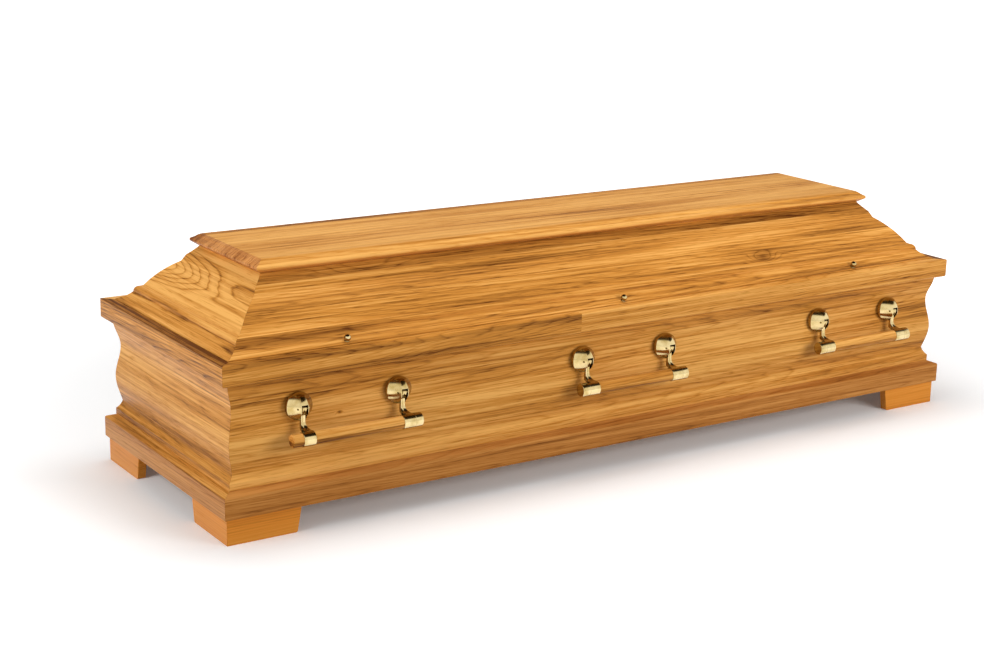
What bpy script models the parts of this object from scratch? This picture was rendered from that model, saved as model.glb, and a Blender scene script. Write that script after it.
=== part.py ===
"""An oak coffin on four feet, with a lift-off lid and six swing handles.

Metres, +Z up. X runs along the coffin, the front is -Y, and the feet stand on z = 0.
Every moulding is a section of (inset, height) points. The inset is measured inwards
from the outer face of the rim, which is the widest part, so one inset gives the same
step on the long sides and on the ends, and the corners meet in mitres.
"""

import math

import bmesh
import bpy
from mathutils import Matrix

# Rim, the widest frame of the coffin
RIM_LENGTH = 2.050
RIM_WIDTH = 0.645
RIM_HEIGHT = 0.0455
RIM_LOWER_ROUND = 0.005
RIM_UPPER_ROUND = 0.0015

# Clearance between two pieces that touch, and across each mitre
JOINT_GAP = 0.0003

# Feet: two mitred boards glued to an L under each corner
FOOT_HEIGHT = 0.0575
FOOT_INSET = 0.008
FOOT_THICKNESS = 0.020
FOOT_REACH = 0.172
FOOT_SLANT = 0.010
FOOT_ROUND = 0.004

# Plinth frame, with a sloping top and a rebate for the floor board
PLINTH_EDGE_HEIGHT = 0.0486
PLINTH_TOP_RISE = 0.0056
PLINTH_TOP_LEAN = 22.0
PLINTH_INSET = 0.001
PLINTH_ROUND = 0.005
FLOOR_THICKNESS = 0.018
FLOOR_BEARING = 0.012

# Wall mouldings from bottom to top, and the flat inner face
FASCIA_HEIGHT = 0.0149
COVE_HEIGHT = 0.0203
BELLY_UNDER_HEIGHT = 0.0565
BELLY_OVER_HEIGHT = 0.0750
HOLLOW_HEIGHT = 0.0590
NECK_HEIGHT = 0.0013
FASCIA_INSET = 0.0210
COVE_DEPTH = 0.0018
WAIST_INSET = 0.0330
BELLY_INSET = 0.0222
BELLY_UNDER_WAVE = 0.090
HOLLOW_INSET = 0.0324
NECK_INSET = 0.0200
INNER_INSET = 0.052

# Lid boards: foot edge, cove, bead, long swelling slope, step, upper slope
LID_FOOT_INSET = 0.026
LID_EDGE_HEIGHT = 0.0015
LID_COVE_RUN = 0.031
LID_COVE_RISE = 0.0200
LID_COVE_SAG = 0.0024
BEAD_RUN = 0.011
BEAD_RISE = 0.0135
BEAD_FLAT_RUN = 0.0065
BEAD_FLAT_RISE = 0.0025
SLOPE_RUN = 0.0645
SLOPE_RISE = 0.0625
SLOPE_SWELL = 0.0045
STEP_RUN = 0.0085
STEP_RISE = 0.0150
UPPER_RUN = 0.0225
UPPER_RISE = 0.0225
UPPER_SAG = 0.0006
LID_SEAT_WIDTH = 0.034
LID_TOP_WIDTH = 0.034

# Top board of the lid, a panel with a moulded edge
NOSE_OVERHANG = 0.0162
NOSE_RADIUS = 0.005
NOSE_RISE = 0.0127
UNDERCUT_RUN = 0.0015
NOSE_FLAT_RUN = 0.0070
NOSE_FLAT_RISE = 0.0038
OVOLO_RUN = 0.0120
OVOLO_RISE = 0.0073
OVOLO_SWELL = 0.0008

# Lid screws with ball heads, three along each long side
SCREW_SPACING = 0.7235
SCREW_BALL_RADIUS = 0.0074
SCREW_NECK_RADIUS = 0.0038
SCREW_COLLAR_RADIUS = 0.0056
SCREW_COLLAR_HEIGHT = 0.0012
SCREW_NECK_HEIGHT = 0.0006
SCREW_COVE_SHARE = 0.30

# Swing handles, three along each long side
HANDLE_SPACING = 0.7250
ROSETTE_SPACING = 0.238
ROSETTE_CENTRE_HEIGHT = 0.2710
ROSETTE_RADIUS = 0.030
ROSETTE_RISE = 0.0350
SLOT_TOP = 0.0085
SLOT_SIDE_GAP = 0.0024
PIN_RISE = 0.0270
PIN_RADIUS = 0.0024
PIN_PLAY = 0.0004
PIN_SINK = 0.0015
DRILL_RADIUS = 0.0023
DRILL_FLOOR = 0.0115

# Leaf-shaped facet on each side of a rosette, measured from the centre of its sphere
FACET_TURN = 41.0
FACET_DISTANCE = 0.0258
FACET_BOW_RADIUS = 0.0395
FACET_HALF_HEIGHT = 0.0255
FACET_HOLLOW = 0.0012

# Arms: an eye on the pin, a deep bar with a waist, and a ring with a cap for the rod
EYE_RADIUS = 0.0052
ARM_WIDTH = 0.010
ARM_BACK = 0.0095
WAIST_OUT = -0.0015
WAIST_DROP = 0.018
FLARE_DROP = 0.028
FLARE_RUN = 0.0185
FLARE_HEIGHT = 0.0165
FLARE_WIDTH = 0.027
ROD_OUT = 0.017
ROD_DROP = 0.060
ROD_RADIUS = 0.0140
ROD_PLAY = 0.0003
RING_WALL = 0.0012
RING_WIDTH = 0.0275
GROOVE_WIDTH = 0.0012
GROOVE_DEPTH = 0.0006
CAP_LENGTH = 0.0185
CAP_ROUND = 0.0030
CAP_END_WALL = 0.004
ROD_STUB = 0.0230

# How finely round shapes are faceted
DOME_SEGMENTS = 16
DOME_RINGS = 3
FACET_STATIONS = 6
ROD_SEGMENTS = 12
EYE_SEGMENTS = 8
BALL_SEGMENTS = 8
BALL_RINGS = 4
DRILL_SEGMENTS = 6
WAIST_STATIONS = 2
FLARE_STATIONS = 3

# Levels that follow from the heights
PLINTH_Z = FOOT_HEIGHT + JOINT_GAP
PLINTH_HEIGHT = PLINTH_EDGE_HEIGHT + PLINTH_TOP_RISE
WALL_Z = PLINTH_Z + PLINTH_HEIGHT + JOINT_GAP
WALL_HEIGHT = (
    FASCIA_HEIGHT
    + COVE_HEIGHT
    + BELLY_UNDER_HEIGHT
    + BELLY_OVER_HEIGHT
    + HOLLOW_HEIGHT
    + NECK_HEIGHT
)
RIM_Z = WALL_Z + WALL_HEIGHT + JOINT_GAP
LID_Z = RIM_Z + RIM_HEIGHT + JOINT_GAP

SIDES = (("front", 0), ("right", 90), ("back", 180), ("left", 270))
RING_RADIUS = ROD_RADIUS + ROD_PLAY + RING_WALL
SLOT_HALF = ARM_WIDTH / 2 + SLOT_SIDE_GAP
ROSETTE_CUT = 2.0 * ROSETTE_RISE

FINISHES = {
    "oak_wall": ((0.43, 0.21, 0.066), 0.38, 0.0),
    "oak_rim": ((0.46, 0.23, 0.072), 0.36, 0.0),
    "oak_plinth": ((0.38, 0.175, 0.052), 0.40, 0.0),
    "oak_lid": ((0.50, 0.26, 0.085), 0.36, 0.0),
    "oak_top": ((0.45, 0.22, 0.080), 0.34, 0.0),
    "oak_foot": ((0.52, 0.205, 0.048), 0.42, 0.0),
    "oak_rod": ((0.42, 0.20, 0.070), 0.36, 0.0),
    "oak_floor": ((0.44, 0.24, 0.100), 0.60, 0.0),
    "brass": ((0.62, 0.50, 0.25), 0.16, 1.0),
}


# Section outlines


def bowed_points(start, end, sag, count):
    """Points after start, up to end, on an arc that leaves the chord by sag to its right."""
    run = end[0] - start[0]
    rise = end[1] - start[1]
    chord = math.hypot(run, rise)
    aside = (rise / chord, -run / chord)
    points = []
    for i in range(1, count + 1):
        t = i / count
        off = 4.0 * sag * t * (1.0 - t)
        x = start[0] + run * t + aside[0] * off
        z = start[1] + rise * t + aside[1] * off
        points.append((x, z))
    return points


def wave_points(start, inset, height, count, wave=None):
    """Points after start on a cosine curve; it ends at the inset, or leaves it when wave is longer."""
    wave = wave or height
    swing = (inset - start[0]) / (1.0 - math.cos(math.pi * height / wave))
    points = []
    for i in range(1, count + 1):
        rise = height * i / count
        x = start[0] + swing * (1.0 - math.cos(math.pi * rise / wave))
        points.append((x, start[1] + rise))
    return points


def quarter(centre, radii, start_degrees, end_degrees, count):
    """Points of an elliptic arc, both ends included."""
    points = []
    for i in range(count + 1):
        angle = math.radians(start_degrees + (end_degrees - start_degrees) * i / count)
        x = centre[0] + radii[0] * math.cos(angle)
        z = centre[1] + radii[1] * math.sin(angle)
        points.append((x, z))
    return points


def plinth_section():
    """Square board with a rounded edge, a top that rises to the fascia, and a rebate for the floor."""
    low = PLINTH_Z
    high = PLINTH_Z + PLINTH_HEIGHT
    rebate = INNER_INSET - FLOOR_BEARING
    ledge = high - FLOOR_THICKNESS - JOINT_GAP
    centre = (PLINTH_INSET + PLINTH_ROUND, low + PLINTH_EDGE_HEIGHT - PLINTH_ROUND)
    outline = [(PLINTH_INSET, low)]
    outline += quarter(centre, (PLINTH_ROUND, PLINTH_ROUND), 180, 90 + PLINTH_TOP_LEAN, 3)
    outline += [(FASCIA_INSET, high), (rebate, high)]
    outline += [(rebate, ledge), (INNER_INSET, ledge), (INNER_INSET, low)]
    return outline


def wall_section():
    """Fascia, cove up to the waist, swelling belly, hollow and neck; flat inside."""
    top = WALL_Z + WALL_HEIGHT
    outline = [(FASCIA_INSET, WALL_Z), (FASCIA_INSET, WALL_Z + FASCIA_HEIGHT)]
    waist = (WAIST_INSET, outline[-1][1] + COVE_HEIGHT)
    outline += bowed_points(outline[-1], waist, COVE_DEPTH, 4)
    belly_z = waist[1] + BELLY_UNDER_HEIGHT
    under = wave_points((BELLY_INSET, 0.0), WAIST_INSET, BELLY_UNDER_HEIGHT, 5, BELLY_UNDER_WAVE)
    outline += [(x, belly_z - drop) for x, drop in reversed(under[:-1])]
    outline.append((BELLY_INSET, belly_z))
    outline += wave_points(outline[-1], HOLLOW_INSET, BELLY_OVER_HEIGHT, 7)
    outline += wave_points(outline[-1], NECK_INSET, HOLLOW_HEIGHT, 6)
    outline += [(NECK_INSET, top), (INNER_INSET, top), (INNER_INSET, WALL_Z)]
    return outline


def rim_section():
    """Square board with a rounded lower edge and a slightly eased upper one."""
    high = RIM_Z + RIM_HEIGHT
    lower = (RIM_LOWER_ROUND, RIM_Z + RIM_LOWER_ROUND)
    upper = (RIM_UPPER_ROUND, high - RIM_UPPER_ROUND)
    outline = quarter(lower, (RIM_LOWER_ROUND, RIM_LOWER_ROUND), 270, 180, 3)
    outline += quarter(upper, (RIM_UPPER_ROUND, RIM_UPPER_ROUND), 180, 90, 1)
    outline += [(INNER_INSET, high), (INNER_INSET, RIM_Z)]
    return outline


def lid_cove():
    """The lowest moulding of the lid, from its foot edge to the bead."""
    start = (LID_FOOT_INSET, LID_Z + LID_EDGE_HEIGHT)
    end = (start[0] + LID_COVE_RUN, start[1] + LID_COVE_RISE)
    return [start] + bowed_points(start, end, LID_COVE_SAG, 5)


def lid_section():
    """Outer mouldings of a lid board, and a flat inner face."""
    outline = [(LID_FOOT_INSET, LID_Z)] + lid_cove()
    bead = (outline[-1][0] + BEAD_RUN, outline[-1][1])
    outline += quarter(bead, (BEAD_RUN, BEAD_RISE), 180, 90, 4)[1:]
    foot = (outline[-1][0] + BEAD_FLAT_RUN, outline[-1][1] + BEAD_FLAT_RISE)
    outline.append(foot)
    outline += bowed_points(foot, (foot[0] + SLOPE_RUN, foot[1] + SLOPE_RISE), -SLOPE_SWELL, 6)
    step = outline[-1]
    outline.append((step[0] + STEP_RUN, step[1] + STEP_RISE))
    start = outline[-1]
    outline += bowed_points(start, (start[0] + UPPER_RUN, start[1] + UPPER_RISE), UPPER_SAG, 2)
    top = outline[-1]
    outline.append((top[0] + LID_TOP_WIDTH, top[1]))
    outline.append((LID_FOOT_INSET + LID_SEAT_WIDTH, LID_Z))
    return outline


def lid_top():
    """Inset and height of the lid boards' upper outer edge, where the top board sits."""
    return lid_section()[-3]


def top_board_profile():
    """Edge of the top board from its underside to the flat top."""
    inset, lid_height = lid_top()
    low = lid_height + JOINT_GAP
    tip = inset - NOSE_OVERHANG
    centre = (tip + NOSE_RADIUS, low + NOSE_RISE)
    profile = [(inset - UNDERCUT_RUN, low)]
    profile += quarter(centre, (NOSE_RADIUS, NOSE_RADIUS), 240, 120, 5)
    profile.append((profile[-1][0] + NOSE_FLAT_RUN, profile[-1][1] + NOSE_FLAT_RISE))
    start = profile[-1]
    profile += bowed_points(start, (start[0] + OVOLO_RUN, start[1] + OVOLO_RISE), -OVOLO_SWELL, 3)
    return profile


# Objects and materials


def finish(name):
    """The named material, made on first use."""
    found = bpy.data.materials.get(name)
    if found:
        return found
    colour, roughness, metallic = FINISHES[name]
    material = bpy.data.materials.new(name)
    material.use_nodes = True
    shader = material.node_tree.nodes["Principled BSDF"]
    shader.inputs["Base Color"].default_value = (*colour, 1.0)
    shader.inputs["Roughness"].default_value = roughness
    shader.inputs["Metallic"].default_value = metallic
    material.diffuse_color = (*colour, 1.0)
    return material


def add_mesh(name, points, faces):
    """A mesh whose faces all point outwards."""
    mesh = bpy.data.meshes.new(name)
    mesh.from_pydata(points, [], faces)
    work = bmesh.new()
    work.from_mesh(mesh)
    bmesh.ops.recalc_face_normals(work, faces=work.faces)
    work.to_mesh(mesh)
    work.free()
    return mesh


def add_object(name, mesh, finish_name=None, parent=None, matrix=None):
    """An object in the scene, with its finish, its parent and its place."""
    piece = bpy.data.objects.new(name, mesh)
    bpy.context.scene.collection.objects.link(piece)
    if finish_name:
        mesh.materials.clear()
        mesh.materials.append(finish(finish_name))
    piece.parent = parent
    if matrix is not None:
        piece.matrix_local = matrix
    return piece


def loft(name, loops):
    """A closed mesh through loops of equal count, capped by the first and the last."""
    count = len(loops[0])
    points = [point for loop in loops for point in loop]
    faces = [tuple(reversed(range(count)))]
    for ring in range(len(loops) - 1):
        low = ring * count
        for i in range(count):
            j = (i + 1) % count
            faces.append((low + i, low + j, low + count + j, low + count + i))
    faces.append(tuple(range(len(points) - count, len(points))))
    return add_mesh(name, points, faces)


def turned(name, profile, segments):
    """A solid turned about the local Y axis from (out, radius) points; it faces -Y."""
    loops = []
    for out, radius in profile:
        loop = []
        for i in range(segments):
            angle = 2.0 * math.pi * (i + 0.5) / segments
            loop.append((radius * math.sin(angle), -out, radius * math.cos(angle)))
        loops.append(loop)
    return loft(name, loops)


def rod_solid(name, profile, segments):
    """A solid turned about the local X axis from (x, radius) points."""
    loops = []
    for x, radius in profile:
        loop = []
        for i in range(segments):
            angle = 2.0 * math.pi * (i + 0.5) / segments
            loop.append((x, radius * math.cos(angle), radius * math.sin(angle)))
        loops.append(loop)
    return loft(name, loops)


def baked(base, joined=(), cut=()):
    """One mesh made of base with the joined shapes added, then the cut shapes taken away."""
    body = add_object("base", base)
    helpers = [body]
    for operation, shapes in (("UNION", joined), ("DIFFERENCE", cut)):
        for shape in shapes:
            helper = add_object("helper", shape)
            helper.hide_render = True
            helper.display_type = "WIRE"
            modifier = body.modifiers.new(operation.lower(), "BOOLEAN")
            modifier.operation = operation
            modifier.solver = "EXACT"
            modifier.object = helper
            helpers.append(helper)
    graph = bpy.context.evaluated_depsgraph_get()
    mesh = bpy.data.meshes.new_from_object(body.evaluated_get(graph))
    for helper in helpers:
        bpy.data.objects.remove(helper)
    return mesh


# Case and lid


def mitred_board(name, outline, side_degrees, finish_name):
    """One side of a frame with this section, cut at 45 degrees at both ends."""
    turned_side = side_degrees % 180 != 0
    along = RIM_WIDTH if turned_side else RIM_LENGTH
    across = RIM_LENGTH if turned_side else RIM_WIDTH
    shift = JOINT_GAP / math.sqrt(2.0)
    loops = []
    for end in (-1, 1):
        loop = []
        for inset, height in outline:
            loop.append((end * (along / 2 - inset - shift), inset - across / 2, height))
        loops.append(loop)
    mesh = loft(name, loops)
    mesh.transform(Matrix.Rotation(math.radians(side_degrees), 4, "Z"))
    return add_object(name, mesh, finish_name)


def add_frames():
    """The four mitred frames: plinth, walls, rim and lid."""
    frames = (
        ("plinth", plinth_section(), "oak_plinth"),
        ("wall", wall_section(), "oak_wall"),
        ("rim", rim_section(), "oak_rim"),
        ("lid", lid_section(), "oak_lid"),
    )
    for frame, outline, finish_name in frames:
        for side, degrees in SIDES:
            mitred_board(f"{frame}_{side}", outline, degrees, finish_name)


def stacked_rectangles(name, profile, finish_name):
    """A board whose edge follows (inset, height) points on all four sides."""
    loops = []
    for inset, height in profile:
        x = RIM_LENGTH / 2 - inset
        y = RIM_WIDTH / 2 - inset
        loops.append([(-x, -y, height), (x, -y, height), (x, y, height), (-x, y, height)])
    return add_object(name, loft(name, loops), finish_name)


def add_flat_boards():
    """The floor board in the plinth's rebate and the moulded top board of the lid."""
    floor_inset = INNER_INSET - FLOOR_BEARING + JOINT_GAP
    floor_top = PLINTH_Z + PLINTH_HEIGHT
    floor = [(floor_inset, floor_top - FLOOR_THICKNESS), (floor_inset, floor_top)]
    stacked_rectangles("floor_board", floor, "oak_floor")
    stacked_rectangles("lid_top_board", top_board_profile(), "oak_top")


def leg_reach(height):
    """Length of a foot's leg at this height: a slanted end with its lower corner rounded."""
    reach = FOOT_REACH - FOOT_SLANT * (1.0 - height / FOOT_HEIGHT)
    short = max(0.0, FOOT_ROUND - height)
    return reach - (FOOT_ROUND - math.sqrt(FOOT_ROUND**2 - short**2))


def add_feet():
    """An L-shaped foot under each corner."""
    heights = (0.0, 0.3 * FOOT_ROUND, FOOT_ROUND, FOOT_HEIGHT)
    t = FOOT_THICKNESS
    corners = (
        ("front_left", -1, -1),
        ("front_right", 1, -1),
        ("back_right", 1, 1),
        ("back_left", -1, 1),
    )
    for corner, sx, sy in corners:
        loops = []
        for height in heights:
            r = leg_reach(height)
            plan = ((0, 0), (r, 0), (r, t), (t, t), (t, r), (0, r))
            loop = []
            for a, b in plan:
                x = sx * (RIM_LENGTH / 2 - FOOT_INSET - a)
                y = sy * (RIM_WIDTH / 2 - FOOT_INSET - b)
                loop.append((x, y, height))
            loops.append(loop)
        add_object(f"foot_{corner}", loft(f"foot_{corner}", loops), "oak_foot")


def add_lid_screws():
    """Ball-headed screws standing square on the lid's cove."""
    cove = lid_cove()
    place = SCREW_COVE_SHARE * (len(cove) - 1)
    index = int(place)
    share = place - index
    a = cove[index]
    b = cove[index + 1]
    seat = (a[0] + (b[0] - a[0]) * share, a[1] + (b[1] - a[1]) * share)
    lean = math.atan2(b[1] - a[1], b[0] - a[0])
    base = JOINT_GAP
    profile = [
        (base, SCREW_COLLAR_RADIUS),
        (base + SCREW_COLLAR_HEIGHT, SCREW_COLLAR_RADIUS),
        (base + SCREW_COLLAR_HEIGHT, SCREW_NECK_RADIUS),
    ]
    neck = math.degrees(math.asin(SCREW_NECK_RADIUS / SCREW_BALL_RADIUS))
    neck_top = base + SCREW_COLLAR_HEIGHT + SCREW_NECK_HEIGHT
    centre = neck_top + SCREW_BALL_RADIUS * math.cos(math.radians(neck))
    for i in range(BALL_RINGS + 1):
        angle = math.radians(180.0 - neck - (170.0 - neck) * i / BALL_RINGS)
        out = centre + SCREW_BALL_RADIUS * math.cos(angle)
        profile.append((out, SCREW_BALL_RADIUS * math.sin(angle)))
    mesh = turned("lid_screw", profile, BALL_SEGMENTS)
    # The turned shape points along -Y; this leans it back until it is square to the cove.
    mesh.transform(Matrix.Rotation(lean - math.pi / 2, 4, "X"))
    for side, turn, sign in (("front", 0.0, -1), ("back", math.pi, 1)):
        for place_name, step in (("left", -1), ("middle", 0), ("right", 1)):
            y = sign * (RIM_WIDTH / 2 - seat[0])
            where = Matrix.Translation((step * SCREW_SPACING, y, seat[1]))
            spin = Matrix.Rotation(turn, 4, "Z")
            name = f"lid_screw_{side}_{place_name}"
            add_object(name, mesh.copy(), "brass", None, where @ spin)


# Handles


def slot_block():
    """A block that cuts the arm's slot out of the rosette, down to just behind the arm."""
    floor = PIN_RISE - ARM_BACK - JOINT_GAP
    loops = []
    for z in (-ROSETTE_CUT, SLOT_TOP):
        loop = []
        for x, out in ((-1, floor), (1, floor), (1, ROSETTE_CUT), (-1, ROSETTE_CUT)):
            loop.append((x * SLOT_HALF, -out, z))
        loops.append(loop)
    return loft("slot", loops)


def facet_block(side, centre_out):
    """A block whose inner face bows upright and is hollow across; it cuts the leaf-shaped facet."""
    turn = math.radians(FACET_TURN)
    normal = (math.cos(turn), math.sin(turn))
    loops = []
    for i in range(FACET_STATIONS):
        z = FACET_HALF_HEIGHT * (2.0 * i / (FACET_STATIONS - 1) - 1.0)
        bow = FACET_BOW_RADIUS - math.sqrt(FACET_BOW_RADIUS**2 - z**2)
        near = FACET_DISTANCE - bow
        half = math.sqrt(ROSETTE_RADIUS**2 - near**2)
        hollow = near - FACET_HOLLOW * (half / ROSETTE_RADIUS)
        loop = []
        for deep, across in (
            (near, -ROSETTE_CUT),
            (near, -half),
            (hollow, 0.0),
            (near, half),
            (near, ROSETTE_CUT),
            (ROSETTE_CUT, ROSETTE_CUT),
            (ROSETTE_CUT, -ROSETTE_CUT),
        ):
            x = normal[0] * deep - normal[1] * across
            out = centre_out + normal[1] * deep + normal[0] * across
            loop.append((side * x, -out, z))
        loops.append(loop)
    return loft("facet", loops)


def rosette_mesh():
    """A half ball with a facet and a drilled hole on each side, an arm slot and a pin across it."""
    sphere = (ROSETTE_RADIUS**2 + ROSETTE_RISE**2) / (2.0 * ROSETTE_RISE)
    lift = ROSETTE_RISE - sphere
    start = math.acos(-lift / sphere)
    profile = []
    for i in range(DOME_RINGS + 1):
        angle = start * (1.0 - i / (DOME_RINGS + 0.5))
        profile.append((lift + sphere * math.cos(angle), sphere * math.sin(angle)))
    dome = turned("dome", profile, DOME_SEGMENTS)
    to_pin = Matrix.Translation((0.0, -PIN_RISE, 0.0))
    cutters = [slot_block()]
    for side in (-1, 1):
        cutters.append(facet_block(side, lift))
        hole = [(side * DRILL_FLOOR, DRILL_RADIUS), (side * ROSETTE_CUT, DRILL_RADIUS)]
        drill = rod_solid("drill", hole, DRILL_SEGMENTS)
        drill.transform(to_pin)
        cutters.append(drill)
    carved = baked(dome, cut=cutters)
    half = SLOT_HALF + PIN_SINK
    pin = rod_solid("pin", [(-half, PIN_RADIUS), (half, PIN_RADIUS)], 8)
    pin.transform(to_pin)
    return baked(carved, joined=(pin,))


def arm_bar():
    """The bar from the eye to the ring: straight behind, with a waist and a flared foot in front."""
    front = [(EYE_RADIUS, 0.0)]
    front += wave_points(front[0], WAIST_OUT, -WAIST_DROP, WAIST_STATIONS)
    centre = (WAIST_OUT + FLARE_RUN, -FLARE_DROP)
    front += quarter(centre, (FLARE_RUN, FLARE_HEIGHT), 180, 270, FLARE_STATIONS)
    narrow = ARM_WIDTH / 2
    loops = []
    for out, z in front:
        share = (out - WAIST_OUT) / FLARE_RUN if z <= -FLARE_DROP else 0.0
        wide = narrow + (FLARE_WIDTH / 2 - narrow) * share
        back = [(-narrow, ARM_BACK, z), (narrow, ARM_BACK, z)]
        loops.append(back + [(wide, -out, z), (-wide, -out, z)])
    inside = -ROD_DROP + RING_RADIUS / 2
    reach = ROD_OUT - RING_RADIUS / 2
    foot = [(-narrow, -reach, inside), (narrow, -reach, inside)]
    loops.append(foot + [(narrow, -ROD_OUT, inside), (-narrow, -ROD_OUT, inside)])
    return loft("bar", loops)


def arm_mesh(cap_side):
    """Eye, bar and ring; cap_side closes the ring with a cap at -X or +X, and 0 leaves it open."""
    half = RING_WIDTH / 2
    profile = [(-half, RING_RADIUS), (half, RING_RADIUS)]
    hole = [(-2 * half, ROD_RADIUS + ROD_PLAY), (2 * half, ROD_RADIUS + ROD_PLAY)]
    if cap_side:
        seam = half + GROOVE_WIDTH
        end = seam + CAP_LENGTH
        profile.append((half, RING_RADIUS - GROOVE_DEPTH))
        profile.append((seam, RING_RADIUS - GROOVE_DEPTH))
        profile.append((seam, RING_RADIUS))
        centre = (end - CAP_ROUND, RING_RADIUS - CAP_ROUND)
        profile += quarter(centre, (CAP_ROUND, CAP_ROUND), 90, 0, 1)
        hole[1] = (end - CAP_END_WALL, ROD_RADIUS + ROD_PLAY)
    to_rod = Matrix.Translation((0.0, -ROD_OUT, -ROD_DROP))
    ring = rod_solid("ring", [(x * (cap_side or 1), r) for x, r in profile], ROD_SEGMENTS)
    bore = rod_solid("bore", [(x * (cap_side or 1), r) for x, r in hole], ROD_SEGMENTS)
    ring.transform(to_rod)
    bore.transform(to_rod)
    eye_half = ARM_WIDTH / 2
    eye = rod_solid("eye", [(-eye_half, EYE_RADIUS), (eye_half, EYE_RADIUS)], EYE_SEGMENTS)
    hole_radius = PIN_RADIUS + PIN_PLAY
    pin_hole = rod_solid("pin_hole", [(-ARM_WIDTH, hole_radius), (ARM_WIDTH, hole_radius)], 8)
    return baked(ring, joined=(arm_bar(), eye), cut=(bore, pin_hole))


def wall_inset_near(low, high):
    """Smallest inset of the wall's outer face between two heights."""
    outline = wall_section()
    best = INNER_INSET
    steps = 40
    for i in range(steps + 1):
        height = low + (high - low) * i / steps
        for (x0, z0), (x1, z1) in zip(outline[:-3], outline[1:-2]):
            if z0 <= height <= z1 and z1 > z0:
                best = min(best, x0 + (x1 - x0) * (height - z0) / (z1 - z0))
    return best


def add_handles():
    """Rosettes on the walls, and on each pair of them a handle that swings on its pins."""
    low = ROSETTE_CENTRE_HEIGHT - ROSETTE_RADIUS
    high = ROSETTE_CENTRE_HEIGHT + ROSETTE_RADIUS
    base_inset = wall_inset_near(low, high) - JOINT_GAP
    rosette = rosette_mesh()
    arms = {end: arm_mesh(end) for end in (-1, 0, 1)}
    ring_end = ROSETTE_SPACING / 2 + RING_WIDTH / 2
    cap_reach = ring_end + GROOVE_WIDTH + CAP_LENGTH - CAP_END_WALL - ROD_PLAY
    stub_reach = ring_end + ROD_STUB
    for side, turn, sign in (("front", 0.0, -1), ("back", math.pi, 1)):
        for place_name, step in (("left", -1), ("middle", 0), ("right", 1)):
            handle = f"handle_{side}_{place_name}"
            y = sign * (RIM_WIDTH / 2 - base_inset)
            base = Matrix.Translation((step * HANDLE_SPACING, y, ROSETTE_CENTRE_HEIGHT))
            base = base @ Matrix.Rotation(turn, 4, "Z")
            hinge = add_object(f"hinge_{side}_{place_name}", None)
            hinge.matrix_local = base @ Matrix.Translation((0.0, -PIN_RISE, 0.0))
            bare_end = handle == "handle_front_left"
            for end, end_name in ((-1, "a"), (1, "b")):
                offset = Matrix.Translation((end * ROSETTE_SPACING / 2, 0.0, 0.0))
                name = f"rosette_{side}_{place_name}_{end_name}"
                add_object(name, rosette.copy(), "brass", None, base @ offset)
                kind = 0 if bare_end and end < 0 else end
                name = f"arm_{side}_{place_name}_{end_name}"
                add_object(name, arms[kind].copy(), "brass", hinge, offset)
            ends = (-(stub_reach if bare_end else cap_reach), cap_reach)
            rod = rod_solid("rod", [(x, ROD_RADIUS) for x in ends], ROD_SEGMENTS)
            rod.transform(Matrix.Translation((0.0, -ROD_OUT, -ROD_DROP)))
            add_object(f"rod_{side}_{place_name}", rod, "oak_rod", hinge)


def main():
    """Clear the scene and build the coffin."""
    for old in list(bpy.data.objects):
        bpy.data.objects.remove(old)
    add_feet()
    add_frames()
    add_flat_boards()
    add_lid_screws()
    add_handles()


main()
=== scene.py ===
"""Looks of a lacquered oak coffin with brass swing handles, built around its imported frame.

Metres, +Z up. X runs along the coffin, the front is -Y, and the feet stand on z = 0.
A section is an array of (inset, height) points; the inset is measured inwards from the
outer face of the rim, the widest frame, so one section serves the long sides and the ends.
"""

import logging
import math
from dataclasses import dataclass, field
from enum import Enum

import bmesh
import bpy
import numpy as np
from mathutils import Matrix, Vector


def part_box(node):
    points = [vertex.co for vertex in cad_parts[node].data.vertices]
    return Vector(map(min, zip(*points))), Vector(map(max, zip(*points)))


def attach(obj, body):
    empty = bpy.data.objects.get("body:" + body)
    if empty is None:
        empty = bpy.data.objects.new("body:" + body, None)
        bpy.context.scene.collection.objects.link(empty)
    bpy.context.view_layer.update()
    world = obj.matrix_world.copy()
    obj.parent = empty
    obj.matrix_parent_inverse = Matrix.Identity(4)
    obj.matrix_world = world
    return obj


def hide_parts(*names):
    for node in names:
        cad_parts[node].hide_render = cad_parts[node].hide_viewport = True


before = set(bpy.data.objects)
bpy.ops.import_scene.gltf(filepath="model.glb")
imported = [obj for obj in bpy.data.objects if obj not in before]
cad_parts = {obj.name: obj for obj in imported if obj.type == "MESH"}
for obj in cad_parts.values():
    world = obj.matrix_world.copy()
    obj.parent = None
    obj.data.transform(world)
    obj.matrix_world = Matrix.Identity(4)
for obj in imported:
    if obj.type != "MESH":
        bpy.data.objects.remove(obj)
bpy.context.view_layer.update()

Mesh = bpy.types.Mesh
Socket = bpy.types.NodeSocket
Tree = bpy.types.NodeTree

LOG = logging.getLogger("coffin")
# Width in metres of the finest joint between two pieces.
GAP = 0.0003
# Millimetres in a metre.
MM = 1000.0


class Side(Enum):
    """The four sides of the coffin, each with its turn about Z in degrees."""

    FRONT = 0
    RIGHT = 90
    BACK = 180
    LEFT = 270

    @property
    def label(self) -> str:
        """The side's name in a node's name."""
        return self.name.lower()

    @property
    def long(self) -> bool:
        """Whether the side runs along the coffin."""
        return self in (Side.FRONT, Side.BACK)


class Face(Enum):
    """How the broad face of a board stands, as its lean from upright in degrees."""

    UPRIGHT = 0.0
    SLOPED = 46.0
    LEVEL = 90.0


# Curves and sections


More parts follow.
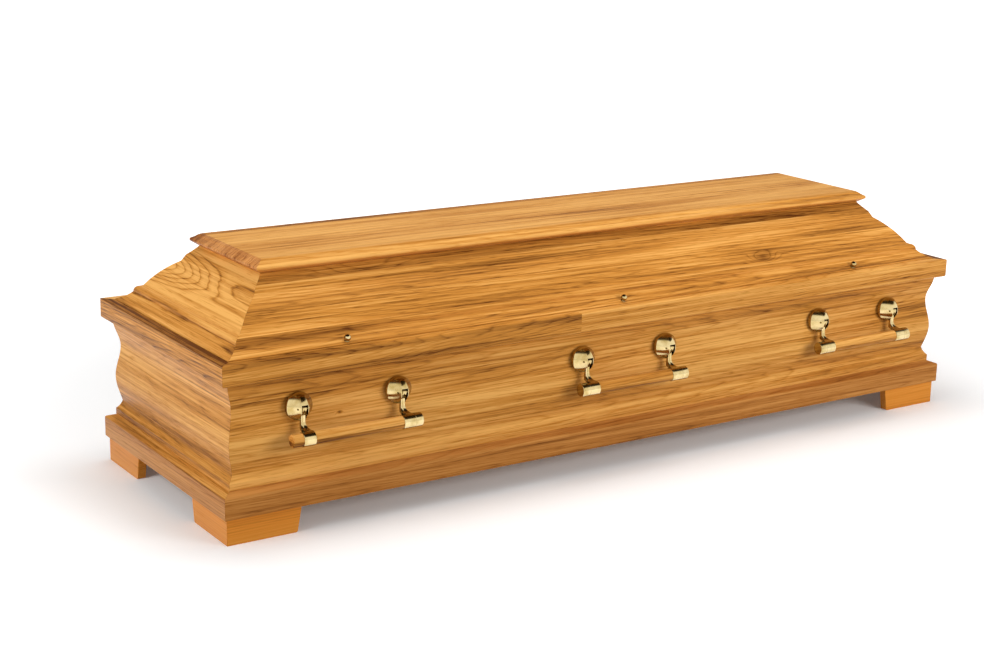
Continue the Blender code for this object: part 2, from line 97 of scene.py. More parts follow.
def arc(centre: tuple, radii: tuple, start: float, end: float, count: int) -> np.ndarray:
    """Points of an elliptic arc: centre plus radii times the cosine and sine of the angle.

    Args:
        centre: Inset and height of the centre.
        radii: The two half axes.
        start: First angle in degrees.
        end: Last angle in degrees.
        count: Number of points.

    Returns:
        An array of (inset, height) rows.
    """
    angle = np.radians(np.linspace(start, end, count))
    return np.column_stack((centre[0] + radii[0] * np.cos(angle), centre[1] + radii[1] * np.sin(angle)))


def bow(start: tuple, end: tuple, sag: float, count: int) -> np.ndarray:
    """Points on a parabola over a chord; it leaves the chord by sag, to the right of the way.

    Args:
        start: First point.
        end: Last point.
        sag: Greatest distance from the chord; negative is to the left.
        count: Number of points.

    Returns:
        An array of (inset, height) rows.
    """
    start, end = np.array(start), np.array(end)
    run = end - start
    aside = np.array((run[1], -run[0])) / np.hypot(*run)
    t = np.linspace(0.0, 1.0, count)[:, None]
    return start + run * t + aside * (4.0 * sag * t * (1.0 - t))


def wave(start: tuple, inset: float, height: float, count: int, length: float = 0.0) -> np.ndarray:
    """Points on a cosine curve that leaves start upright and reaches the inset at the height.

    Args:
        start: First point.
        inset: Inset of the last point.
        height: Rise from the first point to the last.
        count: Number of points.
        length: Height of the half wave, where it is longer than the rise.

    Returns:
        An array of (inset, height) rows.
    """
    length = length or height
    swing = (inset - start[0]) / (1.0 - math.cos(math.pi * height / length))
    rise = np.linspace(0.0, height, count)
    return np.column_stack((start[0] + swing * (1.0 - np.cos(np.pi * rise / length)), start[1] + rise))


def eased(
    outline: np.ndarray, size: float, sharp: float = 24.0, most: float = 0.18, support: float = 2.4
) -> np.ndarray:
    """A closed outline with its sharp corners rounded.

    Each corner that turns by more than the sharp angle becomes a quadratic curve between two
    points that lie size away along its sides, with a support point outside each of them, so
    that smooth shading stays flat on the flats.

    Args:
        outline: Corner points in order, without the first one again.
        size: Length taken off each side of a corner.
        sharp: Angle in degrees above which a corner is rounded.
        most: Greatest share of a side that a corner may take.
        support: Distance of a support point from its corner, in sizes of the cut.

    Returns:
        The points of the eased outline.
    """
    before = np.roll(outline, 1, axis=0) - outline
    after = np.roll(outline, -1, axis=0) - outline
    reach_a = np.hypot(before[:, 0], before[:, 1])[:, None]
    reach_b = np.hypot(after[:, 0], after[:, 1])[:, None]
    way_a, way_b = before / reach_a, after / reach_b
    turn = np.degrees(np.arccos(np.clip(-(way_a * way_b).sum(axis=1), -1.0, 1.0)))
    cut_a, cut_b = np.minimum(size, most * reach_a), np.minimum(size, most * reach_b)
    a, b = outline + way_a * cut_a, outline + way_b * cut_b
    t = np.linspace(0.0, 1.0, 4)[None, :, None]
    curve = (1 - t) ** 2 * a[:, None] + 2 * t * (1 - t) * outline[:, None] + t**2 * b[:, None]
    support_a = (outline + support * way_a * cut_a)[:, None]
    support_b = (outline + support * way_b * cut_b)[:, None]
    rows = np.concatenate((support_a, curve, support_b), axis=1)
    rounded = turn > sharp
    keep = np.zeros(rows.shape[:2], bool)
    keep[rounded] = True
    keep[~rounded, 0] = True
    rows[~rounded, 0] = outline[~rounded]
    return rows[keep]


def joined(*runs: np.ndarray) -> np.ndarray:
    """Puts runs of points end to end, without the points that repeat.

    Args:
        *runs: Arrays of points, or single points.

    Returns:
        One array of points.
    """
    points = np.vstack([np.atleast_2d(run) for run in runs])
    fresh = np.ones(len(points), bool)
    fresh[1:] = np.abs(np.diff(points, axis=0)).max(axis=1) > 1e-6
    return points[fresh]


# Meshes


def skin(name: str, rows: np.ndarray, sharp: float = 32.0) -> Mesh:
    """A closed mesh through rows of points: neighbours are joined by quads, the two ends capped.

    Args:
        name: Name of the mesh.
        rows: Array of rows by points by three coordinates; each row is a closed loop.
        sharp: Angle in degrees above which an edge is shaded sharp.

    Returns:
        The mesh, with its faces pointing outwards.
    """
    count, around = rows.shape[:2]
    index = np.arange(count * around).reshape(count, around)
    beside = np.roll(index, -1, axis=1)
    quads = np.stack((index[:-1], beside[:-1], beside[1:], index[1:]), axis=-1).reshape(-1, 4)
    faces = quads.tolist() + [index[0, ::-1].tolist(), index[-1].tolist()]
    mesh = bpy.data.meshes.new(name)
    mesh.from_pydata(rows.reshape(-1, 3).tolist(), [], faces)
    return closed(mesh, sharp)


def closed(mesh: Mesh, sharp: float = 32.0) -> Mesh:
    """Merges a mesh's poles, turns its faces outwards and sets its smooth shading.

    Args:
        mesh: The mesh, which is changed.
        sharp: Angle in degrees above which an edge is shaded sharp.

    Returns:
        The same mesh.
    """
    work = bmesh.new()
    work.from_mesh(mesh)
    bmesh.ops.remove_doubles(work, verts=work.verts, dist=1e-7)
    bmesh.ops.recalc_face_normals(work, faces=work.faces)
    work.to_mesh(mesh)
    work.free()
    mesh.shade_smooth()
    mesh.set_sharp_from_angle(angle=math.radians(sharp))
    return mesh


def turned(name: str, profile: np.ndarray, segments: int) -> Mesh:
    """A solid turned about X: each (x, radius) point sweeps a circle round the axis.

    Args:
        name: Name of the mesh.
        profile: Array of (x, radius) rows.
        segments: Number of sides.

    Returns:
        The closed mesh.
    """
    angle = 2.0 * np.pi * (np.arange(segments) + 0.5) / segments
    radius = profile[:, 1:]
    along = np.broadcast_to(profile[:, :1], (len(profile), segments))
    return skin(name, np.stack((along, radius * np.cos(angle), radius * np.sin(angle)), axis=-1))


def rod_between(name: str, start: float, end: float, radius: float, segments: int = 24) -> Mesh:
    """A plain round rod along X, from start to end."""
    return turned(name, np.array(((start, radius), (end, radius))), segments)


def carved(base: Mesh, added: tuple = (), cut: tuple = ()) -> Mesh:
    """One mesh: the base with the added shapes joined to it, then the cut shapes taken away.

    Args:
        base: The first shape.
        added: Shapes joined to it.
        cut: Shapes taken away after that.

    Returns:
        The evaluated mesh; the helper objects are removed.
    """
    body = bpy.data.objects.new("base", base)
    helpers = [body]
    for operation, shapes in (("UNION", added), ("DIFFERENCE", cut)):
        for shape in shapes:
            helper = bpy.data.objects.new("helper", shape)
            helpers.append(helper)
            modifier = body.modifiers.new(operation.lower(), "BOOLEAN")
            modifier.operation = operation
            modifier.solver = "EXACT"
            modifier.object = helper
    for helper in helpers:
        bpy.context.scene.collection.objects.link(helper)
    graph = bpy.context.evaluated_depsgraph_get()
    mesh = bpy.data.meshes.new_from_object(body.evaluated_get(graph))
    for helper in helpers:
        bpy.data.objects.remove(helper)
    return closed(mesh)


def split(mesh: Mesh, way: np.ndarray, share: float) -> None:
    """Gives the faces that look along a way their second material.

    Args:
        mesh: The mesh.
        way: Unit vector.
        share: Least cosine between a face's normal and the way; a level way counts both ways.
    """
    normals = np.empty(3 * len(mesh.polygons))
    mesh.polygons.foreach_get("normal", normals)
    facing = normals.reshape(-1, 3) @ way
    if not way[2]:
        facing = np.abs(facing)
    mesh.polygons.foreach_set("material_index", (facing > share).astype(np.int32))


def place(name: str, mesh: Mesh, materials: tuple, body: str, node: str) -> bpy.types.Object:
    """Puts a finished mesh into the scene in the stead of a CAD node.

    Args:
        name: Name of the new piece.
        mesh: Its mesh, in place.
        materials: Its materials, in the order of the mesh's material indices.
        body: The CAD body that it rides on.
        node: The CAD node that it stands for.

    Returns:
        The new object.
    """
    piece = bpy.data.objects.new(name, mesh)
    bpy.context.scene.collection.objects.link(piece)
    for material in materials:
        mesh.materials.append(material)
    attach(piece, body)
    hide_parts(node)
    LOG.info("%s: %d faces, rides on %s", name, len(mesh.polygons), body)
    return piece


# Finishes


def linear(code: str) -> tuple:
    """Turns an sRGB colour to linear light.

    Args:
        code: Hex value, such as #FFFFFF.

    Returns:
        Red, green, blue and alpha, each from 0 to 1.
    """
    value = np.array([int(code[i : i + 2], 16) for i in (1, 3, 5)]) / 255.0
    light = np.where(value <= 0.04045, value / 12.92, ((value + 0.055) / 1.055) ** 2.4)
    return (*light.tolist(), 1.0)


def add(tree: Tree, kind: str, inputs: dict | None = None, **settings: object) -> bpy.types.Node:
    """Adds one node.

    Args:
        tree: The material's or the world's node tree.
        kind: The node's type.
        inputs: Input name or index to a value, or to the socket that feeds it.
        **settings: Properties of the node.

    Returns:
        The node.
    """
    node = tree.nodes.new(kind)
    for key, value in settings.items():
        setattr(node, key, value)
    for key, value in (inputs or {}).items():
        if isinstance(value, Socket):
            tree.links.new(value, node.inputs[key])
        else:
            node.inputs[key].default_value = value
    return node


def summed(tree: Tree, start: Socket | float, *parts: tuple) -> Socket | float:
    """Adds weighted parts to a start value, with one node for each part.

    Args:
        tree: The node tree.
        start: The value or the socket to begin with.
        *parts: (socket, weight) pairs.

    Returns:
        The socket of the sum, or the start where there are no parts.
    """
    for part, weight in parts:
        terms = {0: part, 1: weight, 2: start}
        start = add(tree, "ShaderNodeMath", terms, operation="MULTIPLY_ADD").outputs[0]
    return start


def blank(name: str) -> tuple:
    """Makes a new material with its default nodes.

    Args:
        name: Name of the material.

    Returns:
        The material, its node tree and its shader node.
    """
    made = bpy.data.materials.new(name)
    made.use_nodes = True
    return made, made.node_tree, made.node_tree.nodes["Principled BSDF"]


def set_stops(ramp: bpy.types.ColorRamp, stops: tuple) -> None:
    """Gives a colour ramp its stops.

    Args:
        ramp: The ramp of a colour ramp node.
        stops: (position, colour) pairs in rising order.
    """
    while len(ramp.elements) < len(stops):
        ramp.elements.new(1.0)
    for element, (position, colour) in zip(ramp.elements, stops):
        element.position = position
        element.color = colour


@dataclass(frozen=True)
class Knot:
    """A place where the rings bend round a knot or a flame figure.

    centre is in metres; spread is the half size in millimetres along the grain, level across it
    and in height; rings is how many rings the bend takes up; stain is how dark its heart is.
    """

    centre: tuple
    spread: tuple
    rings: float
    stain: float = 0.0


@dataclass(frozen=True)
class Grain:
    """The sockets of one oak pattern.

    coords are Object coordinates; axes run along, into and across the board in millimetres;
    tone, heart and phase are the stave's random numbers; share runs from 0 to 1 across it.
    """

    tree: Tree
    coords: Socket
    axes: tuple
    tone: Socket
    heart: Socket
    phase: Socket
    share: Socket


@dataclass(frozen=True)
class OakFinish:
    """Flat-sawn oak boards glued from staves, sanded and lacquered satin.

    To the eye that is honey-coloured wood with long brown ring lines, arched where a stave
    was cut near the heart, short dark pores, staves that differ in tone, and a soft sheen.
    """

    name: str
    pale: str = "#E8AC5C"
    middle: str = "#C58336"
    dark: str = "#5C2F0C"
    side: Side = Side.FRONT
    face: Face = Face.UPRIGHT
    stave_mm: float = 62.0
    stave_shift: float = 0.3
    ring_mm: float = 7.0
    heart_mm: float = 42.0
    heart_least_mm: float = 6.0
    wander_mm: float = 9.0
    taper: float = 0.04
    ring_weight: float = 0.24
    tone_weight: float = 0.36
    streak_weight: float = 0.60
    fibre_weight: float = 0.42
    pore_weight: float = 0.24
    cloud_weight: float = 0.55
    depth: float = 0.28
    seed: float = 1.0
    roughness: float = 0.34
    pore_roughness: float = 0.16
    relief: float = 0.35
    relief_mm: float = 0.3
    seed_jump: float = 13.7
    seed_shift: tuple = (3.1, 5.3, 7.7)
    stave_skew: tuple = (1.0, 0.37, 0.71)
    joint_x: float = 0.0
    joint_jump: float = 37.0
    joint_mm: float = 0.5
    joint_weight: float = 0.14
    slow_mm: tuple = (700.0, 90.0, 55.0)
    quick_mm: tuple = (150.0, 50.0, 15.0)
    streak_mm: tuple = (760.0, 24.0, 11.0)
    fibre_mm: tuple = (360.0, 8.0, 3.2)
    cloud_mm: tuple = (620.0, 120.0, 42.0)
    pore_mm: tuple = (46.0, 1.8, 1.8)
    heart_reach: float = 1.3
    slow_share: float = 4.0
    quick_share: float = 0.8
    pore_start: float = 0.54
    pore_full: float = 0.72
    ior: float = 1.5
    specular: float = 0.05
    tone_stops: tuple = (0.0, 0.45, 1.0)
    knots: tuple = ()

    def material(self) -> bpy.types.Material:
        """The node material of this wood.

        Returns:
            A material whose pattern is solid: it follows Object coordinates in millimetres.
        """
        made, tree, shader = blank(self.name)
        grain = self._grain(tree)
        shade, pore = self._shade(grain, self._ring_line(tree, self._rings(grain)))
        colour = add(tree, "ShaderNodeValToRGB", {0: shade})
        tones = zip(self.tone_stops, (self.pale, self.middle, self.dark))
        set_stops(colour.color_ramp, tuple((at, linear(code)) for at, code in tones))
        tree.links.new(colour.outputs[0], shader.inputs["Base Color"])
        dull = self.roughness + self.pore_roughness
        gloss = add(tree, "ShaderNodeMapRange", {0: pore, 3: self.roughness, 4: dull})
        tree.links.new(gloss.outputs[0], shader.inputs["Roughness"])
        heights = {"Height": shade, "Strength": self.relief, "Distance": self.relief_mm / MM}
        relief = add(tree, "ShaderNodeBump", heights, invert=True)
        tree.links.new(relief.outputs[0], shader.inputs["Normal"])
        shader.inputs["IOR"].default_value = self.ior
        shader.inputs["Specular IOR Level"].default_value = self.specular
        return made

    def _grain(self, tree: Tree) -> Grain:
        """Turns the coordinates so that X is along the grain and Z runs across the board's face.

        Args:
            tree: The material's node tree.

        Returns:
            The pattern's sockets, with the board's axes in millimetres.
        """
        coords = add(tree, "ShaderNodeTexCoord").outputs["Object"]
        turn = 0.0 if self.side.long else -math.pi / 2
        lean = math.radians(self.face.value)
        if self.side in (Side.BACK, Side.LEFT):
            lean = -lean
        level = add(tree, "ShaderNodeMapping", {0: coords, 2: (0.0, 0.0, turn), 3: (MM, MM, MM)})
        upright = add(tree, "ShaderNodeMapping", {0: level.outputs[0], 2: (lean, 0.0, 0.0)})
        axes = tuple(add(tree, "ShaderNodeSeparateXYZ", {0: upright.outputs[0]}).outputs)
        return Grain(tree, coords, axes, *self._staves(tree, axes[0], axes[2]))

    def _staves(self, tree: Tree, along: Socket, across: Socket) -> tuple:
        """Numbers the staves across the board and draws three numbers for each of them.

        Args:
            tree: The material's node tree.
            along: Place along the grain in millimetres.
            across: Place across the board in millimetres.

        Returns:
            Tone, heart and phase between 0 and 1, and the share across the stave.
        """
        place_in = summed(tree, self.stave_shift, (across, 1.0 / self.stave_mm))
        number = add(tree, "ShaderNodeMath", {0: place_in}, operation="FLOOR").outputs[0]
        share = add(tree, "ShaderNodeMath", {0: place_in}, operation="FRACT").outputs[0]
        if self.joint_x:
            beyond = add(tree, "ShaderNodeMath", {0: along, 1: self.joint_x * MM}, operation="GREATER_THAN")
            number = summed(tree, number, (beyond.outputs[0], self.joint_jump))
        shift = {0: number, 1: self.seed * self.seed_jump}
        key = add(tree, "ShaderNodeMath", shift, operation="ADD").outputs[0]
        draw = add(tree, "ShaderNodeTexWhiteNoise", {"W": key}, noise_dimensions="1D")
        drawn = add(tree, "ShaderNodeSeparateColor", {0: draw.outputs["Color"]})
        return drawn.outputs[0], drawn.outputs[1], drawn.outputs[2], share

    def _noise(self, grain: Grain, sizes_mm: tuple, detail: float, jump: float) -> Socket:
        """Smooth noise with cells of the given size in millimetres along, into and across the board.

        Args:
            grain: The pattern's sockets; the stave's phase sees to it that no two staves run alike.
            sizes_mm: Cell size on each of the board's axes.
            detail: Octaves.
            jump: How far, in cells, the phase moves the pattern.

        Returns:
            A value around 0.5.
        """
        tree = grain.tree
        spot = add(tree, "ShaderNodeCombineXYZ", dict(enumerate(grain.axes))).outputs[0]
        start = tuple(self.seed * shift for shift in self.seed_shift)
        cells = {0: spot, 1: start, 3: tuple(1.0 / size for size in sizes_mm)}
        scaled = add(tree, "ShaderNodeMapping", cells).outputs[0]
        moved = {0: tuple(jump * skew for skew in self.stave_skew), 1: grain.phase, 2: scaled}
        shifted = add(tree, "ShaderNodeVectorMath", moved, operation="MULTIPLY_ADD").outputs[0]
        return add(tree, "ShaderNodeTexNoise", {"Vector": shifted, "Scale": 1.0, "Detail": detail}).outputs[0]

    def _rings(self, grain: Grain) -> Socket:
        """Counts the year rings at a point.

        The count is the distance from the stave's heart line, which lies behind the face, plus a
        slow wander along the grain and the tree's taper, all divided by the ring width. Knots
        add rings of their own round their centres.

        Args:
            grain: The pattern's sockets.

        Returns:
            The ring count.
        """
        tree = grain.tree
        off = add(tree, "ShaderNodeMath", {0: grain.heart, 1: 0.5}, operation="SUBTRACT").outputs[0]
        middle = summed(tree, grain.share, (off, self.heart_reach))
        aside = summed(tree, -0.5 * self.stave_mm, (middle, self.stave_mm))
        behind = summed(tree, self.heart_least_mm, (grain.phase, self.heart_mm))
        pair = add(tree, "ShaderNodeCombineXYZ", {0: aside, 1: behind}).outputs[0]
        radius = add(tree, "ShaderNodeVectorMath", {0: pair}, operation="LENGTH").outputs["Value"]
        slow = (self._noise(grain, self.slow_mm, detail=1.5, jump=40.0), self.slow_share * self.wander_mm)
        quick = (self._noise(grain, self.quick_mm, detail=1.0, jump=17.0), self.quick_share * self.wander_mm)
        way = summed(tree, radius, slow, quick, (grain.axes[0], self.taper))
        count = add(tree, "ShaderNodeMath", {0: way, 1: 1.0 / self.ring_mm}, operation="MULTIPLY").outputs[0]
        return summed(tree, count, *((self._near(grain, knot), knot.rings) for knot in self.knots))

    def _near(self, grain: Grain, knot: Knot) -> Socket:
        """How near a point is to a knot: 1 at its centre, falling smoothly to 0 at its spread.

        Args:
            grain: The pattern's sockets.
            knot: The knot.

        Returns:
            The nearness.
        """
        tree = grain.tree
        spread = knot.spread if self.side.long else (knot.spread[1], knot.spread[0], knot.spread[2])
        scale = tuple(MM / size for size in spread)
        shift = tuple(-c * s for c, s in zip(knot.centre, scale))
        local = add(tree, "ShaderNodeMapping", {0: grain.coords, 1: shift, 3: scale}).outputs[0]
        far = add(tree, "ShaderNodeVectorMath", {0: local}, operation="LENGTH").outputs["Value"]
        ends = {0: far, 3: 1.0, 4: 0.0}
        return add(tree, "ShaderNodeMapRange", ends, interpolation_type="SMOOTHSTEP").outputs[0]

    def _ring_line(self, tree: Tree, value: Socket) -> Socket:
        """Darkness within one year's ring: it rises slowly to the late wood and ends in a sharp line.

        Args:
            tree: The material's node tree.
            value: The ring count.

        Returns:
            The darkness, from 0 to 1.
        """
        part = add(tree, "ShaderNodeMath", {0: value}, operation="FRACT").outputs[0]
        ramp = add(tree, "ShaderNodeValToRGB", {0: part})
        levels = ((0.0, 0.75), (0.10, 0.16), (0.55, 0.10), (0.84, 0.42), (0.95, 1.0), (1.0, 0.85))
        set_stops(ramp.color_ramp, tuple((at, (level, level, level, 1.0)) for at, level in levels))
        return ramp.outputs[0]

    def _shade(self, grain: Grain, line: Socket) -> tuple:
        """Adds up what makes the wood darker: rings, stave tone, streaks, clouds, pores and knots.

        Real pores are 0.3 mm wide and wouldn't show; they are drawn 1.8 mm wide.

        Args:
            grain: The pattern's sockets.
            line: Darkness of the ring lines.

        Returns:
            The shade, 0 pale to 1 dark, and the pores alone.
        """
        tree = grain.tree
        specks = self._noise(grain, self.pore_mm, detail=1.0, jump=53.0)
        grit = {0: specks, 1: self.pore_start, 2: self.pore_full}
        pore = add(tree, "ShaderNodeMapRange", grit, interpolation_type="SMOOTHSTEP").outputs[0]
        total = summed(tree, self.depth, (line, self.ring_weight))
        for part, weight in (
            (grain.tone, self.tone_weight),
            (self._noise(grain, self.streak_mm, detail=2.0, jump=29.0), 2.0 * self.streak_weight),
            (self._noise(grain, self.fibre_mm, detail=2.0, jump=71.0), 2.0 * self.fibre_weight),
            (self._noise(grain, self.cloud_mm, detail=2.0, jump=11.0), 2.0 * self.cloud_weight),
        ):
            centred = add(tree, "ShaderNodeMath", {0: part, 1: 0.5}, operation="SUBTRACT").outputs[0]
            total = summed(tree, total, (centred, weight))
        joint = {0: grain.share, 1: self.joint_mm / self.stave_mm}
        edge = add(tree, "ShaderNodeMath", joint, operation="LESS_THAN").outputs[0]
        total = summed(tree, total, (pore, self.pore_weight), (edge, self.joint_weight))
        for knot in self.knots:
            if knot.stain:
                near = {0: self._near(grain, knot), 1: 3.0}
                heart = add(tree, "ShaderNodeMath", near, operation="POWER").outputs[0]
                total = summed(tree, total, (heart, knot.stain))
        return total, pore


@dataclass(frozen=True)
class BrassFinish:
    """Cast brass, polished and clear-lacquered, slightly bronzed in the hollows.

    To the eye that is a mirror-like pale gold with olive and brown depths.
    """

    name: str = "polished_brass"
    polished: str = "#B5A378"
    bronzed: str = "#98824F"
    cloud_mm: float = 22.0
    roughness: float = 0.11
    bronzed_roughness: float = 0.08

    def material(self) -> bpy.types.Material:
        """The node material: two tones of metal mixed by soft clouds, and a faint uneven polish.

        Returns:
            The material.
        """
        made, tree, shader = blank(self.name)
        coords = add(tree, "ShaderNodeTexCoord").outputs["Object"]
        cells = {"Vector": coords, "Scale": MM / self.cloud_mm, "Detail": 3.0}
        cloud = add(tree, "ShaderNodeTexNoise", cells).outputs[0]
        colour = add(tree, "ShaderNodeValToRGB", {0: cloud})
        set_stops(colour.color_ramp, ((0.30, linear(self.bronzed)), (0.62, linear(self.polished))))
        dull = self.roughness + self.bronzed_roughness
        polish = add(tree, "ShaderNodeMapRange", {0: cloud, 1: 0.3, 2: 0.7, 3: dull, 4: self.roughness})
        tree.links.new(colour.outputs[0], shader.inputs["Base Color"])
        tree.links.new(polish.outputs[0], shader.inputs["Roughness"])
        shader.inputs["Metallic"].default_value = 1.0
        return made


# Frames of the case and the lid


def half_size() -> tuple:
    """Half the length and half the width of the rim, the widest frame."""
    return -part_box("rim_left")[0].x, -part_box("rim_front")[0].y


@dataclass
class MitredFrame:
    """Four boards of one section round the coffin, mitred at the corners."""

    node: str
    slot: str
    finishes: dict
    arris: float = 0.0009
    # End boards whose upward faces get a darker wood, as painted shade, by side.
    painted_shade_ledges: dict = field(default_factory=dict)
    ledge_rise: float = 0.6

    def section(self) -> np.ndarray:
        """The closed (inset, height) outline; each frame gives its own."""
        raise NotImplementedError

    def low(self) -> float:
        """Height of the frame's underside."""
        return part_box(f"{self.node}_front")[0].z

    def high(self) -> float:
        """Height of the frame's highest point."""
        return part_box(f"{self.node}_front")[1].z

    def board(self, side: Side) -> Mesh:
        """One board: the section at both ends, where it runs out at 45 degrees.

        Args:
            side: The side that the board closes.

        Returns:
            The mesh, in place.
        """
        along, across = half_size() if side.long else half_size()[::-1]
        outline = eased(self.section(), self.arris)
        reach = along - outline[:, 0] - GAP / math.sqrt(2.0)
        x = np.array([[-1.0], [1.0]]) * reach
        y = np.broadcast_to(outline[:, 0] - across, x.shape)
        z = np.broadcast_to(outline[:, 1], x.shape)
        mesh = skin(self.node, np.stack((x, y, z), axis=-1))
        mesh.transform(Matrix.Rotation(math.radians(side.value), 4, "Z"))
        return mesh

    def build(self) -> None:
        """Makes the four boards and dresses them; a ledge is the part that looks upwards and can get painted
        shade.
        """
        for side in Side:
            node = f"{self.node}_{side.label}"
            mesh = self.board(side)
            woods = [self.finishes[side].material()]
            # Painted shade: the upward faces of these end boards get a darker wood than the rest of the
            # board.
            if side in self.painted_shade_ledges:
                split(mesh, np.array((0.0, 0.0, 1.0)), self.ledge_rise)
                woods.append(self.painted_shade_ledges[side].material())
            place(f"{node}_board", mesh, tuple(woods), "case", node)


@dataclass
class Plinth(MitredFrame):
    """Plain board with a rounded upper edge, a slightly rising top and a rebate for the floor."""

    inset: float = 0.001
    edge_height: float = 0.0486
    top_lean: float = 22.0
    round: float = 0.005
    fascia_inset: float = 0.0210
    inner_inset: float = 0.052
    bearing: float = 0.012
    floor_thickness: float = 0.018

    def section(self) -> np.ndarray:
        """Upright face, quarter round, rising top, rebate and inner face.

        Returns:
            An array of (inset, height) rows.
        """
        low, high = self.low(), self.high()
        centre = (self.inset + self.round, low + self.edge_height - self.round)
        rebate = self.inner_inset - self.bearing
        ledge = high - self.floor_thickness - GAP
        edge = arc(centre, (self.round, self.round), 180.0, 90.0 + self.top_lean, 10)
        rest = ((self.fascia_inset, high), (rebate, high), (rebate, ledge))
        inner = ((self.inner_inset, ledge), (self.inner_inset, low))
        return joined((self.inset, low), edge, rest, inner)


@dataclass
class Walls(MitredFrame):
    """Moulded walls: fascia, cove, swelling belly, long hollow and neck; flat inside."""

    fascia_height: float = 0.0149
    cove_height: float = 0.0203
    under_height: float = 0.0565
    over_height: float = 0.0750
    hollow_height: float = 0.0590
    fascia_inset: float = 0.0210
    cove_depth: float = 0.0018
    waist_inset: float = 0.0330
    belly_inset: float = 0.0222
    under_wave: float = 0.090
    hollow_inset: float = 0.0324
    neck_inset: float = 0.0200
    inner_inset: float = 0.052

    def section(self) -> np.ndarray:
        """Cosine waves for the belly and the hollow, a parabola for the cove.

        Returns:
            An array of (inset, height) rows.
        """
        low, high = self.low(), self.high()
        fascia_top = low + self.fascia_height
        waist = fascia_top + self.cove_height
        belly = waist + self.under_height
        crest = belly + self.over_height
        cove = bow((self.fascia_inset, fascia_top), (self.waist_inset, waist), self.cove_depth, 12)
        under = wave((self.belly_inset, 0.0), self.waist_inset, self.under_height, 18, self.under_wave)
        under = np.column_stack((under[::-1, 0], belly - under[::-1, 1]))
        over = wave((self.belly_inset, belly), self.hollow_inset, self.over_height, 24)
        hollow = wave((self.hollow_inset, crest), self.neck_inset, self.hollow_height, 20)
        inner = ((self.neck_inset, high), (self.inner_inset, high), (self.inner_inset, low))
        return joined((self.fascia_inset, low), cove, under, over, hollow, inner)


@dataclass
class Rim(MitredFrame):
    """Square board with a rounded lower edge and an eased upper one."""

    lower_round: float = 0.005
    upper_round: float = 0.0015
    inner_inset: float = 0.052

    def section(self) -> np.ndarray:
        """Two quarter rounds joined by the upright face, and a plain inside.

        Returns:
            An array of (inset, height) rows.
        """
        low, high = self.low(), self.high()
        lower = arc((self.lower_round, low + self.lower_round), (self.lower_round,) * 2, 270.0, 180.0, 10)
        upper = arc((self.upper_round, high - self.upper_round), (self.upper_round,) * 2, 180.0, 90.0, 6)
        return joined(lower, upper, ((self.inner_inset, high), (self.inner_inset, low)))


@dataclass
class Lid(MitredFrame):
    """Lid boards: foot edge, cove, bead, long swelling slope, step and upper slope."""

    foot_inset: float = 0.026
    edge_height: float = 0.0015
    cove_run: float = 0.031
    cove_rise: float = 0.0200
    cove_sag: float = 0.0024
    bead_run: float = 0.011
    bead_rise: float = 0.0135
    flat_run: float = 0.0065
    flat_rise: float = 0.0025
    slope_run: float = 0.0645
    slope_rise: float = 0.0625
    slope_swell: float = 0.0045
    step_run: float = 0.0085
    step_rise: float = 0.0150
    upper_run: float = 0.0225
    upper_rise: float = 0.0225
    upper_sag: float = 0.0006
    seat_width: float = 0.034
    top_width: float = 0.034

    def cove(self, count: int = 16) -> np.ndarray:
        """The lowest moulding, a shallow parabola that the screws stand on."""
        start = (self.foot_inset, self.low() + self.edge_height)
        return bow(start, (start[0] + self.cove_run, start[1] + self.cove_rise), self.cove_sag, count)

    def section(self) -> np.ndarray:
        """All mouldings from the foot to the top board, and a flat inner face.

        Returns:
            An array of (inset, height) rows.
        """
        cove = self.cove()
        foot, top = cove[0], cove[-1]
        bead = arc((top[0] + self.bead_run, top[1]), (self.bead_run, self.bead_rise), 180.0, 90.0, 12)
        flat = bead[-1] + (self.flat_run, self.flat_rise)
        shoulder = flat + (self.slope_run, self.slope_rise)
        slope = bow(flat, shoulder, -self.slope_swell, 16)
        step = shoulder + (self.step_run, self.step_rise)
        head = step + (self.upper_run, self.upper_rise)
        upper = bow(step, head, self.upper_sag, 8)
        inner = (head + (self.top_width, 0.0), (foot[0] + self.seat_width, self.low()))
        return joined((foot[0], self.low()), cove, bead, slope, upper, np.array(inner))

    def top_inset(self) -> float:
        """Inset of the upper outer edge, where the top board sits."""
        runs = (self.cove_run, self.bead_run, self.flat_run, self.slope_run, self.step_run, self.upper_run)
        return self.foot_inset + sum(runs)


